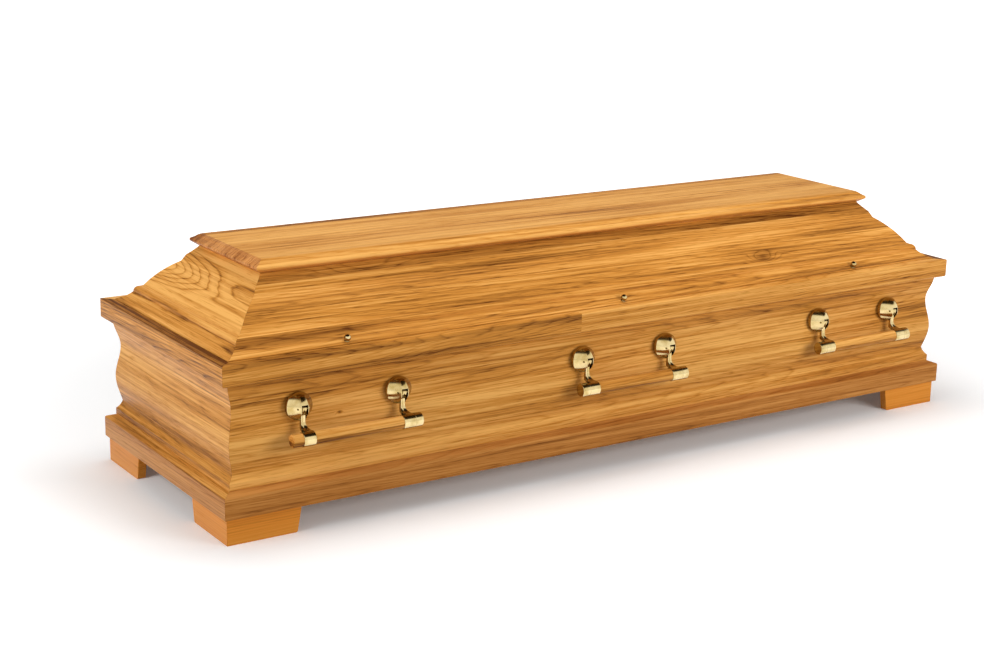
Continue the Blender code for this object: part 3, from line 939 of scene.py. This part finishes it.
@dataclass
class TopBoard:
    """Top board of the lid, one panel with a moulded edge on all four sides."""

    lid: Lid
    finish: OakFinish
    end_grain: OakFinish
    end_share: float = 0.25
    overhang: float = 0.0162
    nose_radius: float = 0.005
    nose_rise: float = 0.0127
    undercut: float = 0.0015
    flat_run: float = 0.0070
    flat_rise: float = 0.0038
    ovolo_run: float = 0.0120
    ovolo_rise: float = 0.0073
    ovolo_swell: float = 0.0008
    node: str = "lid_top_board"

    def profile(self) -> np.ndarray:
        """Undercut, round nose, short flat and ovolo, up to the flat top.

        Returns:
            An array of (inset, height) rows.
        """
        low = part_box(self.node)[0].z
        inset = self.lid.top_inset()
        centre = (inset - self.overhang + self.nose_radius, low + self.nose_rise)
        nose = arc(centre, (self.nose_radius,) * 2, 240.0, 120.0, 14)
        flat = nose[-1] + (self.flat_run, self.flat_rise)
        crown = flat + (self.ovolo_run, self.ovolo_rise)
        ovolo = bow(flat, crown, -self.ovolo_swell, 10)
        inner = ((crown[0] + 0.004, crown[1]),)
        return joined((inset - self.undercut, low), nose, ovolo, inner)

    def build(self) -> None:
        """Makes the panel: at each point of the profile it has one rectangle round the board."""
        half_length, half_width = half_size()
        profile = self.profile()
        signs = np.array(((-1.0, -1.0), (1.0, -1.0), (1.0, 1.0), (-1.0, 1.0)))
        x = (half_length - profile[:, :1]) * signs[:, 0]
        y = (half_width - profile[:, :1]) * signs[:, 1]
        z = np.broadcast_to(profile[:, 1:], x.shape)
        mesh = skin(self.node, np.stack((x, y, z), axis=-1), 40.0)
        split(mesh, np.array((1.0, 0.0, 0.0)), self.end_share)
        woods = (self.finish.material(), self.end_grain.material())
        place("lid_top_panel", mesh, woods, "case", self.node)


@dataclass
class Feet:
    """Four feet, each of two mitred boards set to an L."""

    long_finish: OakFinish
    end_finish: OakFinish
    thickness: float = 0.020
    slant: float = 0.010
    lower_round: float = 0.004
    arris: float = 0.0012

    def leg(self, reach: float, height: float) -> np.ndarray:
        """One board as rows by points by (along, inwards, height), with its mitre at the origin.

        The free end leans in towards the floor by the slant, and its lower corner is a quarter
        round: the reach at a height is the full reach less both.

        Args:
            reach: Length of the board at its top.
            height: Height of the foot.

        Returns:
            An array of rows by points by three coordinates.
        """
        rise = np.concatenate((np.linspace(0.0, self.lower_round, 6), [height - self.arris, height]))
        short = np.maximum(0.0, self.lower_round - rise)
        loss = self.slant * (1.0 - rise / height)
        loss = loss + self.lower_round - np.sqrt(self.lower_round**2 - short**2)
        shift = GAP / math.sqrt(2.0)
        t = self.thickness
        plan = eased(np.array(((shift, 0.0), (reach, 0.0), (reach, t), (t + shift, t))), self.arris)
        free = plan[:, 0] > reach / 2
        along = plan[:, 0] - np.where(free, loss[:, None], 0.0)
        inward = np.broadcast_to(plan[:, 1], along.shape)
        return np.stack((along, inward, np.broadcast_to(rise[:, None], along.shape)), axis=-1)

    def build(self) -> None:
        """Makes the four feet; the end board is the long board with its two axes swapped."""
        for corner in ("front_left", "front_right", "back_right", "back_left"):
            node = f"foot_{corner}"
            low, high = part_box(node)
            right, back = "right" in corner, "back" in corner
            outer = Vector((high.x if right else low.x, high.y if back else low.y))
            way = Vector((-1.0 if right else 1.0, -1.0 if back else 1.0))
            rows = self.leg(high.x - low.x, high.z)
            work = bmesh.new()
            for number, order in enumerate(((0, 1, 2), (1, 0, 2))):
                shape = rows[:, :, order].copy()
                shape[:, :, 0] = outer.x + way.x * shape[:, :, 0]
                shape[:, :, 1] = outer.y + way.y * shape[:, :, 1]
                board = skin(node, shape)
                board.polygons.foreach_set("material_index", np.full(len(board.polygons), number))
                work.from_mesh(board)
                bpy.data.meshes.remove(board)
            mesh = bpy.data.meshes.new(node)
            work.to_mesh(mesh)
            work.free()
            materials = (self.long_finish.material(), self.end_finish.material())
            place(f"{node}_boards", mesh, materials, "case", node)


@dataclass
class LidScrews:
    """Six brass screws with ball heads, standing square on the lid's cove."""

    lid: Lid
    brass: bpy.types.Material
    ball_radius: float = 0.0074
    neck_radius: float = 0.0038
    collar_radius: float = 0.0056
    collar_height: float = 0.0012
    neck_height: float = 0.0006
    cove_share: float = 0.30
    segments: int = 32

    def profile(self) -> np.ndarray:
        """Collar, neck and ball, from the cove upwards.

        Returns:
            An array of (height, radius) rows.
        """
        collar = GAP + self.collar_height
        ease, radius = 0.0003, self.collar_radius
        foot = ((GAP, 0.0), (GAP, radius - ease), (GAP + ease, radius))
        neck = ((collar - ease, radius), (collar, radius - ease), (collar, self.neck_radius))
        lean = math.asin(self.neck_radius / self.ball_radius)
        centre = collar + self.neck_height + self.ball_radius * math.cos(lean)
        ball = arc((centre, 0.0), (self.ball_radius,) * 2, 180.0 - math.degrees(lean), 0.0, 20)
        return joined(np.array(foot), np.array(neck), ball)

    def build(self) -> None:
        """Makes the six screws; each is turned upright and leaned until it is square to the cove."""
        cove = self.lid.cove(101)
        index = round(self.cove_share * 100)
        seat, ahead = cove[index], cove[index + 1] - cove[index - 1]
        lean = math.atan2(ahead[1], ahead[0])
        half_width = half_size()[1]
        mesh = turned("lid_screw", self.profile(), self.segments)
        # The turned shape points along +X; this stands it up, then leans it outwards to -Y.
        mesh.transform(Matrix.Rotation(lean, 4, "X") @ Matrix.Rotation(-math.pi / 2, 4, "Y"))
        for side, turn in (("front", 0.0), ("back", math.pi)):
            sign = -1.0 if side == "front" else 1.0
            for spot in ("left", "middle", "right"):
                node = f"lid_screw_{side}_{spot}"
                low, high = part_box(node)
                centre = Vector(((low.x + high.x) / 2, sign * (half_width - seat[0]), seat[1]))
                copy = mesh.copy()
                copy.transform(Matrix.Translation(centre) @ Matrix.Rotation(turn, 4, "Z"))
                place(f"{node}_head", copy, (self.brass,), "case", node)


# Handles


@dataclass
class Rosette:
    """Half ball with a hollow leaf-shaped facet and a drilled hole on each side, a slot and a pin."""

    radius: float = 0.030
    rise: float = 0.0350
    slot_top: float = 0.0085
    slot_half: float = 0.0074
    pin_rise: float = 0.0270
    pin_radius: float = 0.0024
    pin_sink: float = 0.0015
    drill_radius: float = 0.0023
    drill_floor: float = 0.0115
    facet_turn: float = 41.0
    facet_distance: float = 0.0258
    facet_bow: float = 0.0395
    facet_half: float = 0.0255
    facet_hollow: float = 0.0030
    arm_back: float = 0.0095
    segments: int = 96

    def dome(self) -> Mesh:
        """Part of a ball on a flat base, turned about the way it stands out of the wall.

        Returns:
            The mesh, its base at y = 0.
        """
        ball = (self.radius**2 + self.rise**2) / (2.0 * self.rise)
        lift = self.rise - ball
        start = math.degrees(math.acos(-lift / ball))
        curve = arc((lift, 0.0), (ball, ball), start, 0.0, 36)
        mesh = turned("dome", joined((0.0, 0.0), curve), self.segments)
        mesh.transform(Matrix.Rotation(-math.pi / 2, 4, "Z"))
        return mesh

    def slot(self) -> Mesh:
        """The block that cuts the slot, from behind the arm outwards and down through the edge.

        Returns:
            The block's mesh.
        """
        far = 2.0 * self.rise
        floor = self.pin_rise - self.arm_back - GAP
        x = self.slot_half * np.array((-1.0, 1.0, 1.0, -1.0))
        y = -np.array((floor, floor, far, far))
        rows = [np.column_stack((x, y, np.full(4, z))) for z in (-far, self.slot_top)]
        return skin("slot", np.stack(rows))

    def facet(self, side: float) -> Mesh:
        """The block that cuts a facet: its face bows outwards in height and is hollow across.

        At height z the face lies the facet distance, less the sagitta of the bow, from the
        ball's centre; across, a parabola sinks it by the hollow.

        Args:
            side: -1 or +1, the side of the rosette.

        Returns:
            The block's mesh.
        """
        ball = (self.radius**2 + self.rise**2) / (2.0 * self.rise)
        lift = self.rise - ball
        far = 2.0 * self.rise
        turn = math.radians(self.facet_turn)
        z = np.linspace(-self.facet_half, self.facet_half, 25)[:, None]
        near = self.facet_distance - self.facet_bow + np.sqrt(self.facet_bow**2 - z**2)
        half = np.sqrt(self.radius**2 - near**2)
        t = np.linspace(-1.0, 1.0, 15)
        deep = near - self.facet_hollow * (half / self.radius) * (1.0 - t**2)
        across = half * t
        ends = np.ones_like(z)
        deep = np.hstack((near, deep, near, far * ends, far * ends))
        across = np.hstack((-far * ends, across, far * ends, far * ends, -far * ends))
        x = side * (math.cos(turn) * deep - math.sin(turn) * across)
        out = lift + math.sin(turn) * deep + math.cos(turn) * across
        return skin("facet", np.stack((x, -out, np.broadcast_to(z, x.shape)), axis=-1))

    def mesh(self) -> Mesh:
        """The finished rosette: the dome with its slot, facets and holes cut, and the pin added.

        Returns:
            The mesh, its base at y = 0 and its face towards -Y.
        """
        to_pin = Matrix.Translation((0.0, -self.pin_rise, 0.0))
        cutters = [self.slot(), self.facet(-1.0), self.facet(1.0)]
        for side in (-1.0, 1.0):
            drill = rod_between("drill", side * self.drill_floor, side * self.radius, self.drill_radius)
            drill.transform(to_pin)
            cutters.append(drill)
        half = self.slot_half + self.pin_sink
        pin = rod_between("pin", -half, half, self.pin_radius)
        pin.transform(to_pin)
        return carved(carved(self.dome(), cut=tuple(cutters)), added=(pin,))


@dataclass
class Arm:
    """Cast arm of a handle: an eye, a grooved bar with a waist and a flared foot, and a ring."""

    eye_radius: float = 0.0052
    width: float = 0.010
    back: float = 0.0095
    waist_out: float = -0.0015
    waist_drop: float = 0.018
    flare_drop: float = 0.028
    flare_run: float = 0.0185
    flare_height: float = 0.0165
    flare_width: float = 0.027
    rod_out: float = 0.017
    rod_drop: float = 0.060
    rod_radius: float = 0.0140
    rod_play: float = 0.0003
    ring_wall: float = 0.0012
    ring_width: float = 0.0275
    groove_width: float = 0.0012
    groove_depth: float = 0.0006
    cap_length: float = 0.0185
    cap_round: float = 0.0030
    cap_end_wall: float = 0.004
    pin_hole: float = 0.0028
    front_groove: float = 0.0013
    groove_start: float = 0.006
    groove_share: float = 0.30
    front_ease: float = 0.0009
    back_ease: float = 0.0007

    def bar(self) -> Mesh:
        """The bar as rows down its length.

        In front it follows half a cosine wave to the waist and a quarter ellipse to the flare;
        across, the front has a groove between two ridges, a bell curve cut from a flat face.

        Returns:
            The mesh, from the eye down into the ring.
        """
        down = wave((self.eye_radius, 0.0), self.waist_out, self.waist_drop, 14)
        foot = arc(
            (self.waist_out + self.flare_run, -self.flare_drop),
            (self.flare_run, self.flare_height),
            180.0,
            270.0,
            18,
        )
        path = joined(np.column_stack((down[:, 0], -down[:, 1])), foot)
        flare = np.where(path[:, 1] <= -self.flare_drop, (path[:, 0] - self.waist_out) / self.flare_run, 0.0)
        ring_half = (self.rod_radius + self.rod_play + self.ring_wall) / 2
        path = np.vstack((path, (self.rod_out, ring_half - self.rod_drop)))
        flare = np.append(flare, 0.0)
        narrow = self.width / 2
        wide = narrow + (self.flare_width / 2 - narrow) * flare
        fade = np.clip(-path[:, 1] / self.groove_start, 0.0, 1.0) * (1.0 - flare**2)
        u = np.linspace(-1.0, 1.0, 25)
        ease = self.front_ease * np.abs(u) ** 12
        bell = np.exp(-((u / self.groove_share) ** 2))
        front = path[:, :1] - self.front_groove * fade[:, None] * bell - ease
        behind = np.full(len(path), -self.back)
        behind[-1] = self.rod_out - ring_half
        back_u = u[::-4]
        back = behind[:, None] + self.back_ease * np.abs(back_u) ** 12
        x = np.hstack((wide[:, None] * u, np.broadcast_to(narrow * back_u, back.shape)))
        out = np.hstack((front, back))
        z = np.broadcast_to(path[:, 1:], x.shape)
        return skin("bar", np.stack((x, -out, z), axis=-1))

    def mesh(self, cap_side: int) -> Mesh:
        """The finished arm about the hinge's own origin.

        Args:
            cap_side: -1 or +1 puts the cap on that side of the ring, 0 leaves the ring open.

        Returns:
            The mesh, hanging down from the hinge, its front towards -Y.
        """
        half = self.ring_width / 2
        outer = self.rod_radius + self.rod_play + self.ring_wall
        bore = self.rod_radius + self.rod_play
        ease = 0.0007
        edge = ((-half, outer - ease), (-half + ease, outer))
        if cap_side:
            seam = half + self.groove_width
            end = seam + self.cap_length
            groove = outer - self.groove_depth
            neck = ((half - ease / 2, outer), (half, outer - ease / 2), (half, groove), (seam, groove))
            rim = ((seam, outer - ease / 2), (seam + ease / 2, outer))
            cap = arc((end - self.cap_round, outer - self.cap_round), (self.cap_round,) * 2, 90.0, 0.0, 8)
            profile = joined(np.array(edge), np.array(neck), np.array(rim), cap)
            depth = end - self.cap_end_wall
        else:
            profile = joined(np.array(edge), ((half - ease, outer),), ((half, outer - ease),))
            depth = 2.0 * half
        flip = np.array((cap_side or 1, 1.0))
        to_rod = Matrix.Translation((0.0, -self.rod_out, -self.rod_drop))
        ring = turned("ring", profile * flip, 64)
        hole = turned("hole", np.array(((-2.0 * half, bore), (depth, bore))) * flip, 48)
        ring.transform(to_rod)
        hole.transform(to_rod)
        wide = self.width / 2
        round_eye = ((-wide, self.eye_radius - ease), (-wide + ease, self.eye_radius))
        eye = turned("eye", joined(np.array(round_eye), -np.array(round_eye)[::-1] * (1.0, -1.0)), 40)
        pin = rod_between("pin_hole", -self.width, self.width, self.pin_hole)
        return carved(ring, added=(self.bar(), eye), cut=(hole, pin))


@dataclass
class Handles:
    """Six swing handles: two rosettes, two arms and a round oak grip bar each."""

    brass: bpy.types.Material
    rod_finish: OakFinish
    rosette: Rosette = field(default_factory=Rosette)
    arm: Arm = field(default_factory=Arm)
    rod_ease: float = 0.0012
    bare_end: str = "handle_front_left"

    def rod(self, low: float, high: float) -> Mesh:
        """A round bar with eased ends, about the hinge's own origin.

        Args:
            low: Its left end along X.
            high: Its right end along X.

        Returns:
            The mesh.
        """
        radius, ease = self.arm.rod_radius, self.rod_ease
        left = arc((low + ease, radius - ease), (ease, ease), 180.0, 90.0, 5)
        right = arc((high - ease, radius - ease), (ease, ease), 90.0, 0.0, 5)
        mesh = turned("rod", joined((low, 0.0), left, right, (high, 0.0)), 48)
        mesh.transform(Matrix.Translation((0.0, -self.arm.rod_out, -self.arm.rod_drop)))
        return mesh

    def build(self) -> None:
        """Makes all handles; those at the back are the front ones turned round."""
        rosette = self.rosette.mesh()
        arms = {side: self.arm.mesh(side) for side in (-1, 0, 1)}
        wood = self.rod_finish.material()
        for side, turn in (("front", 0.0), ("back", math.pi)):
            spin = Matrix.Rotation(turn, 4, "Z")
            for spot in ("left", "middle", "right"):
                self._handle(f"{side}_{spot}", spin, rosette, arms, wood)

    def _handle(
        self,
        name: str,
        spin: Matrix,
        rosette: Mesh,
        arms: dict,
        wood: bpy.types.Material,
    ) -> None:
        """Places one handle.

        Args:
            name: Side and place, such as front_left.
            spin: Turn about Z that brings the parts to that side.
            rosette: The rosette's mesh.
            arms: The arms' meshes by the side of the cap.
            wood: Material of the grip bar.
        """
        body = f"handle_{name}"
        pin_out = Matrix.Translation((0.0, -self.rosette.pin_rise, 0.0))
        for end, letter in ((-1, "a"), (1, "b")):
            node = f"rosette_{name}_{letter}"
            low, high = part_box(node)
            middle = (low + high) / 2
            base = high.y if name.startswith("front") else low.y
            spot = Matrix.Translation((middle.x, base, middle.z)) @ spin
            copy = rosette.copy()
            copy.transform(spot)
            place(f"{node}_casting", copy, (self.brass,), "case", node)
            bare = body == self.bare_end and end < 0
            copy = arms[0 if bare else end].copy()
            copy.transform(spot @ pin_out)
            node = f"arm_{name}_{letter}"
            place(f"{node}_casting", copy, (self.brass,), body, node)
        node = f"rod_{name}"
        low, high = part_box(node)
        centre = (low.x + high.x) / 2
        half = (high.x - low.x) / 2
        mesh = self.rod(-half, half)
        mesh.transform(Matrix.Translation((centre, base, middle.z)) @ spin @ pin_out)
        place(f"{node}_bar", mesh, (wood,), body, node)


# Studio


@dataclass
class Studio:
    """Pale floor, a soft light tent, lamps and the camera of the photograph.

    The camera's angles are in radians; its focal length is in pixels of a 984 pixel wide frame.
    """

    azimuth: float = -0.586752
    elevation: float = 0.260701
    roll: float = 0.021744
    distance: float = 4.350997
    target: tuple = (-0.169604, 0.0, 0.279848)
    focal_px: float = 1817.714
    frame_px: float = 984.0
    sensor_mm: float = 36.0
    floor_size: float = 120.0
    floor_colour: str = "#FAFAFA"
    bounce_colour: str = "#9A9A9A"
    glow_start: float = 1.0
    glow_end: float = 2.6
    near_glow: float = 0.06
    glow: float = 0.85
    tent_light: float = 0.34
    tent_mirrored: float = 1.9
    tent_behind: float = 0.3
    floor_mirrored: float = 1.2

    def camera(self) -> None:
        """Sets the camera on its sphere round the target, looking at it, with a slight roll."""
        level = math.cos(self.elevation)
        aside, ahead = math.sin(self.azimuth) * level, -math.cos(self.azimuth) * level
        back = Vector((aside, ahead, math.sin(self.elevation)))
        right = (-back).cross(Vector((0.0, 0.0, 1.0))).normalized()
        up = right.cross(-back)
        tilt_x = right * math.cos(self.roll) + up * math.sin(self.roll)
        tilt_y = up * math.cos(self.roll) - right * math.sin(self.roll)
        spot = Vector(self.target) + back * self.distance
        data = bpy.data.cameras.new("camera")
        data.sensor_fit = "HORIZONTAL"
        data.sensor_width = self.sensor_mm
        data.lens = self.focal_px * self.sensor_mm / self.frame_px
        data.clip_end = 400.0
        camera = bpy.data.objects.new("camera", data)
        bpy.context.scene.collection.objects.link(camera)
        axes = Matrix((tilt_x, tilt_y, back)).transposed()
        camera.matrix_world = Matrix.Translation(spot) @ axes.to_4x4()
        bpy.context.scene.camera = camera

    def lamp(self, name: str, spot: tuple, aim: tuple, size: tuple, power: float) -> None:
        """Adds a rectangular soft light.

        Args:
            name: Name of the light.
            spot: Where it stands, in metres.
            aim: The point that it faces.
            size: Its two sides, in metres.
            power: Its power in watts.
        """
        data = bpy.data.lights.new(name, "AREA")
        data.shape = "RECTANGLE"
        data.size, data.size_y = size
        data.energy = power
        lamp = bpy.data.objects.new(name, data)
        bpy.context.scene.collection.objects.link(lamp)
        way = Vector(aim) - Vector(spot)
        lamp.matrix_world = Matrix.Translation(spot) @ way.to_track_quat("-Z", "Y").to_matrix().to_4x4()
        lamp.visible_glossy = False

    def world(self) -> None:
        """A white tent that darkens overhead, so that the brass has something dark to mirror."""
        world = bpy.data.worlds.new("light_tent")
        bpy.context.scene.world = world
        world.use_nodes = True
        tree = world.node_tree
        coords = add(tree, "ShaderNodeTexCoord").outputs["Generated"]
        way = add(tree, "ShaderNodeSeparateXYZ", {0: coords}).outputs
        height = way[2]
        front = add(
            tree,
            "ShaderNodeMapRange",
            {0: way[1], 1: -0.1, 2: 0.4, 3: self.tent_mirrored, 4: self.tent_behind},
        )
        mirrored = add(tree, "ShaderNodeValToRGB", {0: height})
        bands = ((0.0, "#FFFFFF"), (0.60, "#FFFFFF"), (0.70, "#3A2F20"), (1.0, "#17120B"))
        set_stops(mirrored.color_ramp, tuple((at, linear(code)) for at, code in bands))
        glossy = add(tree, "ShaderNodeLightPath").outputs["Is Glossy Ray"]
        strength = add(tree, "ShaderNodeMapRange", {0: glossy, 3: self.tent_light, 4: front.outputs[0]})
        tent = add(
            tree,
            "ShaderNodeMix",
            {0: glossy, 6: linear("#FFFFFF"), 7: mirrored.outputs[0]},
            data_type="RGBA",
        )
        background = tree.nodes["Background"]
        tree.links.new(tent.outputs[2], background.inputs["Color"])
        tree.links.new(strength.outputs[0], background.inputs["Strength"])

    def floor(self) -> None:
        """A wide pale floor, just below the feet."""
        half = self.floor_size / 2
        corners = ((-half, -half, 0.0), (half, -half, 0.0), (half, half, 0.0), (-half, half, 0.0))
        mesh = bpy.data.meshes.new("floor")
        mesh.from_pydata(corners, [], [(0, 1, 2, 3)])
        # Matt white paint gives the eye an even pale ground with a soft shadow.
        paint, tree, shader = blank("matt_white_paint")
        shader.inputs["Roughness"].default_value = 0.9
        shader.inputs["Specular IOR Level"].default_value = 0.1
        # The floor gives back less light than it shows, or it would light the boards from below.
        bounced = add(tree, "ShaderNodeLightPath").outputs["Is Diffuse Ray"]
        tone = add(
            tree,
            "ShaderNodeMix",
            {0: bounced, 6: linear(self.floor_colour), 7: linear(self.bounce_colour)},
            data_type="RGBA",
        )
        tree.links.new(tone.outputs[2], shader.inputs["Base Color"])
        shader.inputs["Emission Color"].default_value = linear("#FFFFFF")
        coords = add(tree, "ShaderNodeTexCoord").outputs["Object"]
        far = add(tree, "ShaderNodeVectorMath", {0: coords}, operation="LENGTH").outputs["Value"]
        glow = add(
            tree,
            "ShaderNodeMapRange",
            {0: far, 1: self.glow_start, 2: self.glow_end, 3: self.near_glow, 4: self.glow},
            interpolation_type="SMOOTHSTEP",
        )
        # In the brass the floor is bright right up to the coffin.
        glossy = add(tree, "ShaderNodeLightPath").outputs["Is Glossy Ray"]
        mirrored = add(tree, "ShaderNodeMath", {0: glossy, 1: self.floor_mirrored}, operation="MULTIPLY")
        seen = add(tree, "ShaderNodeMath", {0: glow.outputs[0], 1: mirrored.outputs[0]}, operation="MAXIMUM")
        tree.links.new(seen.outputs[0], shader.inputs["Emission Strength"])
        mesh.materials.append(paint)
        piece = bpy.data.objects.new("studio_floor", mesh)
        bpy.context.scene.collection.objects.link(piece)

    def build(self) -> None:
        """Sets up the whole studio."""
        self.camera()
        self.world()
        self.floor()
        self.lamp("end", (-3.3, -0.5, 1.7), (-0.6, 0.0, 0.25), (1.4, 1.4), 44.0)
        self.lamp("overhead", (0.2, 0.3, 3.2), (0.0, 0.0, 0.3), (3.0, 1.4), 56.0)
        self.lamp("front", (1.2, -3.2, 1.4), (0.0, 0.0, 0.25), (2.0, 0.9), 58.0)
        bpy.context.scene.view_settings.view_transform = "Standard"


def sides(name: str, seeds: tuple, changes: dict, **shared: object) -> dict:
    """One oak finish for each side of a frame.

    Args:
        name: Start of the materials' names.
        seeds: Seeds of the patterns, in the order of the sides.
        changes: Values that only one side has, by side.
        **shared: Values that all four sides have.

    Returns:
        The finishes by side.
    """
    return {
        side: OakFinish(f"{name}_{side.label}", side=side, seed=seed, **(shared | changes.get(side, {})))
        for side, seed in zip(Side, seeds)
    }


def lid_finishes() -> dict:
    """Wood of the four lid boards; the left end is the palest and shows wide arches.

    Returns:
        The finishes by side.
    """
    flame = (
        Knot((-0.62, -0.165, 0.503), (170.0, 40.0, 40.0), 3.0),
        Knot((0.4653, -0.2388, 0.4318), (70.0, 30.0, 26.0), 3.0, 0.35),
        Knot((-0.8345, -0.2366, 0.434), (5.0, 5.0, 5.0), 0.6, 0.7),
    )
    left = dict(
        stave_mm=260.0,
        stave_shift=0.0,
        ring_mm=50.0,
        wander_mm=34.0,
        ring_weight=0.58,
        depth=0.10,
        tone_weight=0.05,
        streak_weight=0.4,
        knots=(Knot((-0.900, 0.32, 0.470), (480.0, 64.0, 64.0), 7.5),),
    )
    changes = {Side.FRONT: dict(depth=0.34, knots=flame), Side.RIGHT: dict(stave_mm=150.0), Side.LEFT: left}
    return sides("oak_lid", (2.0, 7.0, 5.0, 4.0), changes, face=Face.SLOPED)


def wall_finishes() -> dict:
    """Wood of the four walls; a small dark fleck lies between the first two rosettes.

    Returns:
        The finishes by side.
    """
    fleck = (Knot((-0.7451, -0.2965, 0.2411), (16.0, 12.0, 9.0), 1.2, 0.8),)
    changes = {Side.FRONT: dict(depth=0.22, knots=fleck), Side.LEFT: dict(ring_weight=0.16)}
    return sides("oak_wall", (1.0, 8.0, 9.0, 3.0), changes)


def rim_finishes() -> dict:
    """Wood of the rim; its front board is lengthened by a joint left of the middle.

    Returns:
        The finishes by side.
    """
    changes = {
        Side.FRONT: dict(ring_mm=4.0, depth=0.36, joint_x=-0.1423),
        Side.LEFT: dict(ring_weight=0.4, depth=0.42),
    }
    return sides("oak_rim", (11.0, 12.0, 13.0, 14.0), changes, stave_mm=120.0)


def plinth_finishes() -> dict:
    """Wood of the plinth, darker than the rest.

    Returns:
        The finishes by side.
    """
    deep = dict(pale="#CB8C48", middle="#AE6E30", dark="#5E3210")
    changes = {Side.LEFT: dict(ring_weight=0.4)}
    return sides("oak_plinth", (21.0, 22.0, 23.0, 24.0), changes, stave_mm=140.0, **deep)


def painted_shade_ledge_finishes(name: str, depth: float) -> dict:
    """Darker wood on the upward faces of a frame's two end boards, as painted shade on these ledges.

    Args:
        name: The frame's name.
        depth: How dark the wood is, that is, how deep the painted shade is.

    Returns:
        The finishes by side.
    """
    return {
        side: OakFinish(f"oak_{name}_ledge_{side.label}", side=side, face=Face.LEVEL, seed=71.0, depth=depth)
        for side in (Side.LEFT, Side.RIGHT)
    }


def end_grain_finish() -> OakFinish:
    """End grain of the top board's staves: browner, with a tone of its own on every stave."""
    return OakFinish(
        "oak_top_end_grain",
        face=Face.LEVEL,
        pale="#D09052",
        middle="#AD6E38",
        dark="#63300F",
        seed=51.0,
        stave_mm=74.0,
        tone_weight=0.5,
        ring_weight=0.5,
    )


def foot_finish(name: str, side: Side) -> OakFinish:
    """Plain orange wood of the feet, with hardly any figure.

    Args:
        name: Name of the material.
        side: The side whose grain it follows.

    Returns:
        The finish.
    """
    return OakFinish(
        name,
        side=side,
        pale="#EDA045",
        middle="#E08C33",
        dark="#98521A",
        stave_mm=200.0,
        ring_weight=0.10,
        streak_weight=0.16,
        cloud_weight=0.18,
        pore_weight=0.06,
        seed=31.0,
    )


def dress_floor_board() -> None:
    """Gives the CAD floor board inside the coffin its wood."""
    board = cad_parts["floor_board"]
    wood = OakFinish("oak_floor_boards", face=Face.LEVEL, stave_mm=90.0, seed=41.0, roughness=0.55).material()
    board.data.materials.clear()
    board.data.materials.append(wood)


def main() -> None:
    """Builds the coffin's pieces in order, then the studio."""
    logging.basicConfig(level=logging.INFO, format="%(message)s")
    brass = BrassFinish().material()
    lid = Lid("lid", "oak_lid", lid_finishes())
    Feet(foot_finish("oak_foot_long", Side.FRONT), foot_finish("oak_foot_end", Side.LEFT)).build()
    # The plinth's end ledges get a darker wood, as painted shade.
    Plinth("plinth", "oak_plinth", plinth_finishes(), painted_shade_ledges=painted_shade_ledge_finishes("plinth", 0.56)).build()
    dress_floor_board()
    Walls("wall", "oak_wall", wall_finishes()).build()
    # The rim's end ledges get a darker wood, as painted shade.
    Rim("rim", "oak_rim", rim_finishes(), arris=0.0005, painted_shade_ledges=painted_shade_ledge_finishes("rim", 0.92)).build()
    lid.build()
    top = OakFinish("oak_top_panel", face=Face.LEVEL, seed=51.0, stave_mm=74.0, ring_weight=0.20, depth=0.30)
    TopBoard(lid, top, end_grain_finish()).build()
    LidScrews(lid, brass).build()
    Handles(brass, OakFinish("oak_grip_bars", seed=61.0, stave_mm=300.0)).build()
    Studio().build()


if __name__ == "__main__":
    main()
